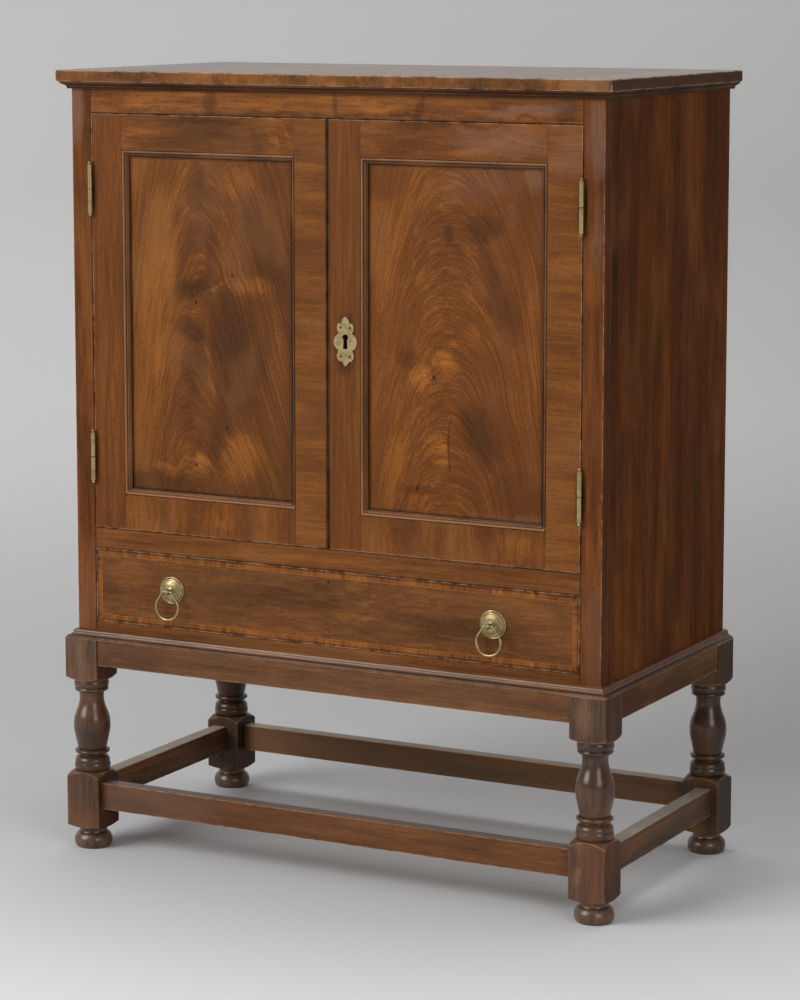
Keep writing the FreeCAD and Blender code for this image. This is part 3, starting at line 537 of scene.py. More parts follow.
@dataclass(frozen=True)
class Wood:
    """A polished wood or veneer."""

    name: str
    tones: Tones
    figure: Figure = Figure.PLAIN
    grain: Grain = Grain()
    polish: Polish = Polish()
    wear_and_highlight: WearAndHighlight = WearAndHighlight()
    cloud: Cloud = Cloud()
    # A paler upper face: lying dust and a painted sheen.
    dust: DustAndSheen = DustAndSheen()
    segments: Optional[Segments] = None
    patches: Tuple[Patch, ...] = ()
    # Pale patches of old-polish haze with a painted sheen, and their colour.
    sheens_and_hazes: Tuple[Patch, ...] = ()
    sheen_and_haze_colour: Colour = shade(130, 102, 87)
    # Dark joint lines, and painted shade along a gap between parts.
    joints: Tuple[Joint, ...] = ()

    def place(self, surface: Surface, along: Along, seed: float) -> List[Number]:
        """Where a spot lies across, into and along the fibres.

        Args:
            surface: The material's nodes.
            along: The direction of the fibres.
            seed: A number of the piece's own, so that no two pieces are alike.

        Returns:
            The places across, into and along the fibres.
        """
        others = [i for i in range(3) if i != along.value]
        across = surface.axes[others[0]] + seed * 0.731
        deep = surface.axes[others[1]] + seed * 0.417
        lengthways = surface.axes[along.value] + seed * 1.373
        if self.figure is Figure.SWIRL:
            turn = SWIRLS.on(surface, across, deep, lengthways) - 0.5
            return [across + turn * 0.11, deep, lengthways + turn * 0.05]
        if self.figure is Figure.STRIPED:
            turn = BANDS.on(surface, across, deep, lengthways) - 0.5
            return [across + turn * 0.03, deep, lengthways]
        return [across, deep, lengthways]

    def material(self, name: str, along: Along, block: Optional[Block], seed: float) -> bpy.types.Material:
        """Makes the finish for one piece.

        Args:
            name: The piece's name.
            along: The direction of the fibres.
            block: The box whose edges are worn, or None.
            seed: A number of the piece's own.

        Returns:
            The material.
        """
        surface = Surface(f"{self.name}_{name}")
        across, deep, lengthways = self.place(surface, along, seed)
        piece: Optional[Number] = None
        if self.segments is not None:
            spot = surface.axes[self.segments.along.value] / self.segments.length + seed
            cell = spot.floor()
            piece = surface.chance(cell)
            joint = abs(spot - cell - 0.5).fade(0.5 - self.segments.joint / self.segments.length, 0.5)
            across = across + piece * 3.0
            lengthways = lengthways + piece * 7.0
        else:
            joint = None
        sway = SWAY.on(surface, across, deep, lengthways) - 0.5
        across = across + sway * self.grain.wander
        streaks = Streaks(self.grain.streaks, self.grain.stretch, 5.0, 0.62)
        broad = streaks.on(surface, across, deep, lengthways)
        strands = STRANDS.on(surface, across, deep, lengthways)
        fine = FIBRES.on(surface, across, deep, lengthways)
        clouds = CLOUDS.on(surface, across, deep, lengthways)
        pores = PORES.on(surface, across, deep, lengthways)
        tone = (broad - 0.5) * (1.9 * self.grain.contrast) + 0.5
        tone = tone + (fine - 0.5) * self.grain.fibre * 2.0 + (clouds - 0.5) * 0.6 * self.grain.contrast
        tone = tone + (strands - 0.5) * self.grain.strand * 2.0
        tone = self.patched(surface, tone, broad)
        if piece is not None:
            tone = tone + (piece - 0.5) * self.segments.spread * 2.0
        return self.coloured(surface, tone, fine, clouds, pores, joint, block)

    def patched(self, surface: Surface, tone: Number, streaks: Number) -> Number:
        """Adds the patches to a tone, more so in its streaks.

        Args:
            surface: The material's nodes.
            tone: The tone so far.
            streaks: The streaks, around 0.5.

        Returns:
            The tone with its patches.
        """
        total: Term = 0.0
        for patch in self.patches:
            total = patch.mask(surface) * patch.lift + total
        if not self.patches:
            return tone
        return tone + total * (streaks * 1.8 + 0.1)

    def coloured(
        self,
        surface: Surface,
        tone: Number,
        fine: Number,
        clouds: Number,
        pores: Number,
        joint: Optional[Number],
        block: Optional[Block],
    ) -> bpy.types.Material:
        """Turns a tone into the finished material.

        Args:
            surface: The material's nodes.
            tone: 0 in the darkest streaks and 1 in the lightest.
            fine: The fibres.
            clouds: Soft patches of another hue.
            pores: The pores.
            joint: 1 where two lengths of veneer meet, or None.
            block: The box whose edges are worn, or None.

        Returns:
            The material.
        """
        specks = surface.noise(surface.place, 270.0, 3.0, 0.62)
        tone = tone + (specks - 0.5) * self.grain.grit
        tones = self.tones
        colour = surface.ramp(tone, [(0.12, tones.dark), (0.5, tones.middle), (0.88, tones.light)])
        colour = surface.mix(clouds.fade(0.50, 0.68) * self.cloud.share, colour, self.cloud.colour)
        colour = surface.mix(pores.fade(0.60, 0.74) * 0.45, colour, darker(self.tones.dark, 0.35))
        colour = surface.mix(specks.fade(0.70, 0.80) * 0.35, colour, self.wear_and_highlight.colour)
        colour = self.tinted(surface, colour, block)
        if joint is not None:
            colour = surface.mix(joint * 0.6, colour, darker(self.tones.dark, 0.4))
        rough = self.polish.gloss + (1.0 - fine) * 0.10 + clouds * 0.08
        # Rubbed edges with a painted highlight: a paler band near each edge and a light line along it.
        if block is not None:
            edge = block.nearest_edge(surface)
            rub = surface.noise(surface.place, 55.0, 3.0, 0.6)
            worn_and_highlit = edge.drop(0.2 * self.wear_and_highlight.width, self.wear_and_highlight.width) * rub.fade(0.34, 0.60)
            near = edge.drop(0.0, 6.0 * self.wear_and_highlight.width) * rub.fade(0.45, 0.70)
            colour = surface.mix(near * 0.20, colour, self.tones.light)
            colour = surface.mix(worn_and_highlit * self.wear_and_highlight.share, colour, self.wear_and_highlight.colour)
            rough = rough + worn_and_highlit * 0.10
        # Dark joint lines, and painted shade along each gap.
        for line in self.joints:
            colour = surface.mix(line.mask(surface) * 0.75, colour, darker(self.tones.dark, 0.35))
        height = fine * 0.6 - pores.fade(0.58, 0.74) * 0.8
        return surface.finish(
            {
                "Base Color": colour,
                "Roughness": rough,
                "Specular IOR Level": self.polish.shine,
                "Coat Weight": self.coat_weight(surface, block),
                "Coat Roughness": 0.22,
                "Normal": surface.bump(height, 0.35, 0.0002),
            }
        )

    def coat_weight(self, surface: Surface, block: Optional[Block]) -> Term:
        """How strong the gloss of the polish is."""
        return self.polish.coat

    def tinted(self, surface: Surface, colour: Socket, block: Optional[Block]) -> Socket:
        """Lays the pale haze of old polish with a painted sheen, and dust with a painted sheen on the
        upper face, over a colour.

        Args:
            surface: The material's nodes.
            colour: The colour so far.
            block: The box of the piece, or None.

        Returns:
            The colour with its haze, sheen and dust.
        """
        # Patches that are partly old-polish haze and partly a painted sheen.
        for haze in self.sheens_and_hazes:
            colour = surface.mix(haze.mask(surface) * haze.lift, colour, self.sheen_and_haze_colour)
        # Lying dust and a painted sheen on the upper face.
        if self.dust.share and block is not None:
            lying = (block.high.z - surface.axes[2]).drop(0.1 * MM, 0.6 * MM, self.dust.share)
            thick = surface.noise(surface.place, 13.0, 3.0, 0.6).fade(0.30, 0.70, 0.7, 1.0)
            colour = surface.mix(lying * thick, colour, self.dust.colour)
        return colour


@dataclass(frozen=True)
class Board(Wood):
    """A top board whose edges keep a warmer colour than its rubbed face, and whose right end gets
    painted shade."""

    edge_tint: Colour = (1.0, 0.96, 0.74)
    end_shade: Colour = (0.60, 0.42, 0.24)

    def coat_weight(self, surface: Surface, block: Optional[Block]) -> Term:
        """How strong the gloss of the polish is: all of it lies on the face."""
        if block is None:
            return self.polish.coat
        return (block.high.z - surface.axes[2]).fade(0.3 * MM, 1.2 * MM, self.polish.coat, THIN_COAT)

    def tinted(self, surface: Surface, colour: Socket, block: Optional[Block]) -> Socket:
        """Warms the colour below the rim of the face and paints shade on the right end.

        Args:
            surface: The material's nodes.
            colour: The colour so far.
            block: The box of the board, or None.

        Returns:
            The changed colour.
        """
        colour = super().tinted(surface, colour, block)
        if block is None:
            return colour
        below = block.high.z - surface.axes[2]
        colour = surface.mix(below.fade(1.5 * MM, 3.0 * MM), colour, self.edge_tint, "MULTIPLY")
        # Painted shade on the right end.
        right = block.high.x - surface.axes[0]
        return surface.mix(right.drop(0.4 * MM, 1.2 * MM), colour, self.end_shade, "MULTIPLY")


@dataclass(frozen=True)
class Stile(Wood):
    """An upright of the front whose flank gets painted shade, as dark as the side of the case."""

    flank_shade: Colour = (0.62, 0.50, 0.40)

    def tinted(self, surface: Surface, colour: Socket, block: Optional[Block]) -> Socket:
        """Paints shade on the colour behind the front.

        Args:
            surface: The material's nodes.
            colour: The colour so far.
            block: The box of the upright, or None.

        Returns:
            The darkened colour.
        """
        colour = super().tinted(surface, colour, block)
        # Painted shade on the flank behind the front.
        behind = (surface.axes[1] - FRONT).fade(0.8 * MM, 2.2 * MM)
        return surface.mix(behind, colour, self.flank_shade, "MULTIPLY")


@dataclass(frozen=True)
class Rails(Wood):
    """The rails of a door. The fibres of the upper one run across it, those of the lower one along z."""

    change: float = 0.85

    def place(self, surface: Surface, along: Along, seed: float) -> List[Number]:
        """Where a spot lies across, into and along the fibres, turned on the upper rail."""
        across, deep, lengthways = super().place(surface, along, seed)
        turned = surface.axes[2].fade(self.change - 0.05, self.change + 0.05)
        swapped = (lengthways - across) * turned
        return [across + swapped, deep, lengthways - swapped]


@dataclass(frozen=True)
class Grooved(Wood):
    """A moulded or turned wood with dirt and painted shade in its grooves, at heights above the piece's
    foot.
    """

    grooves: Tuple[float, ...] = ()
    groove_width: float = 1.8 * MM
    grime_and_shade: float = 0.65

    def tinted(self, surface: Surface, colour: Socket, block: Optional[Block]) -> Socket:
        """Darkens the colour in the grooves with dirt and painted shade.

        Args:
            surface: The material's nodes.
            colour: The colour so far.
            block: The box of the piece, or None.

        Returns:
            The darkened colour.
        """
        colour = super().tinted(surface, colour, block)
        if block is None:
            return colour
        # Painted shade and dirt in each groove.
        for height in self.grooves:
            away = abs(surface.axes[2] - (block.low.z + height))
            grime_and_shade = away.drop(0.25 * self.groove_width, self.groove_width, self.grime_and_shade)
            colour = surface.mix(grime_and_shade, colour, darker(self.tones.dark, 0.3))
        return colour


@dataclass(frozen=True)
class Mitred(Grooved):
    """A moulding round a front and two sides, whose right length gets painted shade."""

    side_shade: Colour = (0.60, 0.44, 0.27)

    def tinted(self, surface: Surface, colour: Socket, block: Optional[Block]) -> Socket:
        """Paints shade on the colour behind the mitre on the right.

        Args:
            surface: The material's nodes.
            colour: The colour so far.
            block: The box of the moulding, or None.

        Returns:
            The darkened colour.
        """
        colour = super().tinted(surface, colour, block)
        if block is None:
            return colour
        # Painted shade on the right length, behind the mitre.
        back = surface.axes[1] - block.low.y
        left = block.high.x - surface.axes[0]
        return surface.mix((back - left).fade(0.0, 0.6 * MM), colour, self.side_shade, "MULTIPLY")


@dataclass(frozen=True)
class Leg(Grooved):
    """A turned leg, glossy between its square blocks and rubbed light along their rounded
    shoulders, with a painted highlight there and painted shade on its right flank. A shoulder is
    the height of its middle above the leg's foot, and how far its corners lie above that. The vase
    is the heights of its two ends above the foot, past which the beads have a colour of their own."""

    shoulders: Tuple[Tuple[float, float], ...] = ((91.5 * MM, -8.5 * MM), (241.5 * MM, 5.5 * MM))
    # How strong the light line along the shoulders is: wear with a painted highlight.
    rubbed: float = 0.75
    turned_tint: Colour = (0.74, 0.63, 0.50)
    bead_tint: Colour = (0.88, 0.93, 0.87)
    vase: Tuple[float, float] = (119.0 * MM, 227.0 * MM)
    # Painted shade on the right flank of the square blocks.
    flank_shade: Colour = (0.61, 0.42, 0.20)
    ease: float = 4.0 * MM

    def turned(self, surface: Surface, block: Block) -> Number:
        """1 on the turned part of the leg and 0 on its square blocks."""
        height = surface.axes[2] - block.low.z
        low = self.shoulders[0][0]
        high = self.shoulders[1][0]
        return height.fade(low, low + self.ease) * height.drop(high - self.ease, high)

    def coat_weight(self, surface: Surface, block: Optional[Block]) -> Term:
        """How strong the gloss of the polish is."""
        if block is None:
            return self.polish.coat
        return self.turned(surface, block) * self.polish.coat + THIN_COAT

    def tinted(self, surface: Surface, colour: Socket, block: Optional[Block]) -> Socket:
        """Paints shade on the right flank, darkens the turned part, and rubs the shoulders light with a
        painted highlight.

        Args:
            surface: The material's nodes.
            colour: The colour so far.
            block: The box of the leg, or None.

        Returns:
            The rubbed colour.
        """
        colour = super().tinted(surface, colour, block)
        if block is None:
            return colour
        x, y, z = surface.axes
        # Painted shade on the right flank.
        flank = (block.high.x - x).drop(0.5 * MM, 1.5 * MM)
        colour = surface.mix(flank, colour, self.flank_shade, "MULTIPLY")
        turned = self.turned(surface, block)
        colour = surface.mix(turned, colour, self.turned_tint, "MULTIPLY")
        height = z - block.low.z
        low, high = self.vase
        beads = height.drop(low - 3.0 * MM, low) + height.fade(high, high + 3.0 * MM)
        colour = surface.mix(turned * beads, colour, self.bead_tint, "MULTIPLY")
        middle = (block.low + block.high) / 2
        half = (block.high.x - block.low.x) / 2
        right = x - middle.x
        back = y - middle.y
        out = ((right * right + back * back) ** 0.5 - half) / (half * (math.sqrt(2.0) - 1.0))
        depths = block.depths(surface)
        face = depths[0].least(depths[1]).drop(0.3 * MM, 1.6 * MM)
        rub = surface.noise(surface.place, 60.0, 3.0, 0.6).fade(0.36, 0.60, 0.25, 1.0)
        # Light lines along the shoulders: wear with a painted highlight.
        for height, lift in self.shoulders:
            away = abs(z - (block.low.z + height) - out * lift)
            line = away.drop(0.3 * MM, 1.7 * MM) * face * rub
            colour = surface.mix(line * self.rubbed, colour, self.wear_and_highlight.colour)
        return colour


@dataclass(frozen=True)
class Arch:
    """One plume of crotch figure: its streaks part at a spine and fall to both sides, each with
    the steepness and the power of its curve."""

    spine: float
    left: Tuple[float, float] = (14.0, 1.9)
    right: Tuple[float, float] = (14.0, 1.9)


@dataclass(frozen=True)
class Crotch(Wood):
    """Flame-figured veneer from where a branch leaves the trunk."""

    upper: Arch = Arch(0.0)
    lower: Arch = Arch(0.0)
    change: float = 0.87
    knots: Tuple[Patch, ...] = ()
    left_lift: float = 0.08
    right_lift: float = -0.05
    eye: float = 3.2 * MM

    def fall(self, surface: Surface, arch: Arch, lean: Number) -> Tuple[Number, Number]:
        """The height at which a spot's streak leaves the spine, and its side.

        Args:
            surface: The material's nodes.
            arch: The plume.
            lean: A slow change of the spine's place.

        Returns:
            The height and the signed distance from the spine.
        """
        x, _, z = surface.axes
        side = x + lean - arch.spine
        distance = abs(side).most(0.5 * MM)
        left = (distance ** arch.left[1]) * arch.left[0]
        right = (distance ** arch.right[1]) * arch.right[0]
        return z + right + (left - right) * side.drop(-2.0 * MM, 2.0 * MM), side

    def material(self, name: str, along: Along, block: Optional[Block], seed: float) -> bpy.types.Material:
        """Makes the finish for one panel.

        Args:
            name: The piece's name.
            along: The direction of the spine; not used.
            block: The box whose rim gets painted shade from the moulding, or None.
            seed: A number of the piece's own.

        Returns:
            The material.
        """
        surface = Surface(f"{self.name}_{name}")
        x, y, z = surface.axes
        slow = surface.noise(surface.vector(x + seed, y, z), 5.0, 1.0) - 0.5
        quick = surface.noise(surface.vector(x + seed, y, z * 0.4), 21.0, 2.0) - 0.5
        lean = slow * 0.03
        first, side = self.fall(surface, self.upper, lean)
        second, lower_side = self.fall(surface, self.lower, lean)
        share = (z + slow * 0.10).drop(self.change - 0.05, self.change + 0.03)
        height = first + (second - first) * share
        side = side + (lower_side - side) * share
        height = height + slow * 0.05 + quick * 0.009
        for knot in self.knots:
            height = height + knot.mask(surface) * knot.lift
        drift = surface.noise(surface.vector(x + seed, z, 0.0), 60.0, 2.0) - 0.5
        broad = surface.noise(surface.vector(height, x * 0.35 + seed, 0.0), 24.0, 4.0, 0.6)
        course = x * 0.30 + z * 0.08 + seed
        middle = surface.noise(surface.vector(height + drift * 0.003, course, 0.0), 110.0, 3.0, 0.62)
        spot = surface.vector(height + drift * 0.002, course * 0.45, 0.0)
        strands = surface.noise(spot, 240.0, 3.0, 0.64)
        fine = surface.noise(surface.vector(height, x * 0.14 + seed, 0.0), 420.0, 2.0, 0.6)
        clouds = surface.noise(surface.vector(x + seed, y, z * 0.6), 12.0, 2.0, 0.55)
        pores = surface.noise(surface.vector(height, x * 0.3, 0.0), 900.0, 1.0)
        contrast = self.grain.contrast
        tone = (broad - 0.5) * (0.34 * contrast) + (middle - 0.5) * (0.42 * contrast) + 0.5
        tone = tone + (strands - 0.5) * (0.62 * contrast)
        tone = tone + (fine - 0.5) * self.grain.fibre * 1.8 + (clouds - 0.5) * 0.30
        tone = tone + side.fade(-0.05, 0.03, self.left_lift, self.right_lift)
        tone = self.patched(surface, tone, (middle + strands) * 0.5)
        for knot in self.knots:
            eye = replace(knot, width=self.eye, height=self.eye * 1.2, crisp=True)
            tone = tone - eye.mask(surface) * 0.7
        # Painted shade of the moulding along the panel's rim.
        if block is not None:
            depths = block.depths(surface)
            rim = depths[0].least(depths[2])
            tone = tone - rim.drop(0.0, 0.005, 0.28)
        return self.coloured(surface, tone, fine, clouds, pores, None, None)


@dataclass(frozen=True)
class Moulded(Wood):
    """A narrow moulding with a painted highlight on its crest and painted shade in its hollows."""

    crest: float = FRONT
    hollow: float = FRONT + 9.0 * MM
    level: Along = Along.Y
    line: float = 1.5 * MM
    groove: float = 5.6 * MM
    # Painted shade on the right length, painted highlight on the left length, and painted sheen on the
    # upward slope of the lower length.
    right_shade: float = 0.22
    left_lift: float = 0.14
    low_sheen: float = 0.35

    def material(self, name: str, along: Along, block: Optional[Block], seed: float) -> bpy.types.Material:
        """Makes the finish for a set of mouldings.

        Args:
            name: The piece's name.
            along: The direction of the fibres.
            block: The box round the mouldings, or None.
            seed: A number of the piece's own.

        Returns:
            The material.
        """
        surface = Surface(f"{self.name}_{name}")
        across, deep, lengthways = self.place(surface, along, seed)
        fine = MOULDING_FIBRES.on(surface, across, deep, lengthways)
        clouds = MOULDING_CLOUDS.on(surface, across, deep, lengthways)
        pores = MOULDING_PORES.on(surface, across, deep, lengthways)
        # Painted highlight on the crest, fading to painted shade in the hollows.
        level = surface.axes[self.level.value].drop(self.crest, self.hollow)
        tone = level * 0.45 + 0.27 + (fine - 0.5) * self.grain.fibre * 2.0 + (clouds - 0.5) * 0.8
        if block is not None:
            depths = block.depths(surface)
            inward = depths[0].least(depths[2])
            middle = (block.low.x + block.high.x) / 2
            # Painted light by facing: the left length lighter, the right length in painted shade.
            side = (surface.axes[0] - middle).fade(-1.0 * MM, 1.0 * MM, self.left_lift, -self.right_shade)
            tone = tone + (depths[2] - depths[0]).fade(-0.5 * MM, 0.5 * MM) * side
            # Painted shade lines at the moulding's outer edge and in its groove.
            tone = tone - inward.drop(0.2 * MM, self.line, 0.9)
            tone = tone - abs(inward - self.groove).drop(0.2 * MM, self.line, 0.6)
            # Painted sheen on the upward slope of the lower length.
            above = surface.axes[2] - block.low.z
            lying = above.fade(self.line, 2.0 * self.line) * above.drop(self.groove, 1.6 * self.groove)
            tone = tone + lying * self.low_sheen
        return self.coloured(surface, tone, fine, clouds, pores, None, None)


@dataclass(frozen=True)
class Crossband(Wood):
    """Strips of veneer laid across the edges of a front, with a thin pale line inside them."""

    width: float = 9.5 * MM
    length: float = 71.0 * MM
    line_lift: float = 0.30
    outer_drop: float = 0.30

    def material(self, name: str, along: Along, block: Optional[Block], seed: float) -> bpy.types.Material:
        """Makes the finish for the strips round one front.

        Args:
            name: The piece's name.
            along: Not used, because the fibres run across each strip.
            block: The box round the strips.
            seed: A number of the piece's own.

        Returns:
            The material.
        """
        surface = Surface(f"{self.name}_{name}")
        x, y, z = surface.axes
        found = block or Block.of(name)
        depths = found.depths(surface)
        inward = depths[0].least(depths[2])
        upright = (depths[2] - depths[0]).fade(0.0, 0.1 * MM)
        run = x + (z * 1.7 - x) * upright
        cell = (run / self.length + seed).floor()
        piece = surface.chance(cell)
        spot = surface.vector(run, inward * 0.06 + piece, y)
        bars = surface.noise(spot, self.grain.streaks, 4.0, 0.65)
        fine = surface.noise(surface.vector(run, inward * 0.1, y), 800.0, 2.0, 0.6)
        clouds = surface.noise(surface.vector(run, inward, y), 14.0, 2.0, 0.55)
        pores = surface.noise(surface.vector(run, inward * 0.2, y), 1300.0, 1.0)
        tone = (bars - 0.5) * (1.9 * self.grain.contrast) + 0.5 + (fine - 0.5) * self.grain.fibre * 2.0
        tone = tone + (piece - 0.5) * 0.2 + (clouds - 0.5) * 0.5
        tone = tone - inward.drop(0.30 * self.width, 0.55 * self.width, self.outer_drop)
        tone = tone + inward.fade(self.width - 0.1 * MM, self.width + 0.1 * MM) * self.line_lift
        tone = tone - abs(inward - self.width).drop(0.1 * MM, 0.5 * MM, 0.5)
        return self.coloured(surface, tone, fine, clouds, pores, None, found)


@dataclass(frozen=True)
class Metal:
    """An old metal with tarnish in patches and light rubbed places."""

    name: str
    bright: Colour
    tarnish: Colour
    spots: Colour
    gloss: float = 0.30
    tarnished: float = 0.6
    seams: Tuple[Joint, ...] = ()
    marks: Tuple[Patch, ...] = ()

    def material(self, name: str, seed: float) -> bpy.types.Material:
        """Makes the finish for one piece.

        Args:
            name: The piece's name.
            seed: A number of the piece's own.

        Returns:
            The material.
        """
        surface = Surface(f"{self.name}_{name}")
        x, y, z = surface.axes
        place = surface.vector(x + seed, y + seed * 0.3, z)
        patches = surface.noise(place, 90.0, 4.0, 0.62)
        fine = surface.noise(place, 700.0, 3.0, 0.6)
        spots = surface.noise(place, 330.0, 2.0, 0.5)
        dull = patches.fade(0.40, 0.64) * self.tarnished
        colour = surface.mix(dull, self.bright, self.tarnish)
        spotted = spots.fade(0.62, 0.74) * 0.8
        colour = surface.mix(spotted, colour, self.spots)
        for seam in self.seams:
            colour = surface.mix(seam.mask(surface) * 0.9, colour, self.spots)
        for mark in self.marks:
            colour = surface.mix(mark.mask(surface) * mark.lift, colour, self.spots)
        rough = self.gloss + dull * 0.22 + fine * 0.10 + spotted * 0.15
        return surface.finish(
            {
                "Base Color": colour,
                "Metallic": 1.0 - dull * 0.25 - spotted * 0.5,
                "Roughness": rough,
                "Normal": surface.bump(fine + patches, 0.25, 0.0002),
            }
        )


@dataclass(frozen=True)
class Bare:
    """Unpolished wood inside the case and at its back."""

    name: str
    dark: Colour
    light: Colour
    stain: Colour

    def material(self, name: str, along: Along, seed: float) -> bpy.types.Material:
        """Makes the finish for one piece.

        Args:
            name: The piece's name.
            along: The direction of the fibres.
            seed: A number of the piece's own.

        Returns:
            The material.
        """
        surface = Surface(f"{self.name}_{name}")
        others = [i for i in range(3) if i != along.value]
        across = surface.axes[others[0]] + seed * 0.7
        deep = surface.axes[others[1]]
        lengthways = surface.axes[along.value] + seed
        sway = BARE_SWAY.on(surface, across, deep, lengthways) - 0.5
        across = across + sway * 0.015
        rings = BARE_RINGS.on(surface, across, deep, lengthways)
        fine = BARE_FIBRES.on(surface, across, deep, lengthways)
        dirt = BARE_DIRT.on(surface, across, deep, lengthways)
        tone = (rings - 0.5) * 1.6 + (fine - 0.5) * 0.4 + 0.5
        colour = surface.ramp(tone, [(0.1, self.dark), (0.9, self.light)])
        colour = surface.mix(dirt.fade(0.44, 0.74) * 0.4, colour, self.stain)
        colour = self.marked(surface, colour, name)
        return surface.finish(
            {
                "Base Color": colour,
                "Roughness": 0.72 + fine * 0.15,
                "Normal": surface.bump(fine + rings, 0.4, 0.0004),
            }
        )

    def marked(self, surface: Surface, colour: Socket, name: str) -> Socket:
        """Adds nothing to the colour."""
        return colour


@dataclass(frozen=True)
class Boards(Bare):
    """Bare boards side by side, with painted shade along their seams and rust round the nails that hold
    them.
    """

    count: int = 5
    rows: Tuple[float, ...] = (0.362, 0.535, 0.86, 1.21)
    shares: Tuple[float, ...] = (0.18, 0.82)
    seam: float = 2.5 * MM
    rust: Colour = shade(58, 38, 24)

    def marked(self, surface: Surface, colour: Socket, name: str) -> Socket:
        """Gives each board a tone of its own, painted shade along its seams and rusty nail holes.

        Args:
            surface: The material's nodes.
            colour: The colour so far.
            name: The boards' name.

        Returns:
            The marked colour.
        """
        low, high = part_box(name)
        pitch = (high.x - low.x) / self.count
        spot = (surface.axes[0] - low.x) / pitch
        board = spot.floor()
        share = spot - board
        colour = surface.mix(surface.chance(board + 4.0) * 0.6, colour, (0.55, 0.50, 0.44), "MULTIPLY")
        # Painted shade along the seams between the boards.
        seam = share.least(1.0 - share).drop(0.3 * self.seam / pitch, self.seam / pitch, 0.85)
        colour = surface.mix(seam, colour, darker(self.dark, 0.25))
        right = abs(share - self.shares[0]).least(abs(share - self.shares[1])) * pitch
        up = abs(surface.axes[2] - self.rows[0])
        for row in self.rows[1:]:
            up = up.least(abs(surface.axes[2] - row))
        away = (right * right + up * up * 0.3) ** 0.5
        return surface.mix(away.drop(2.0 * MM, 9.0 * MM, 0.8), colour, self.rust)


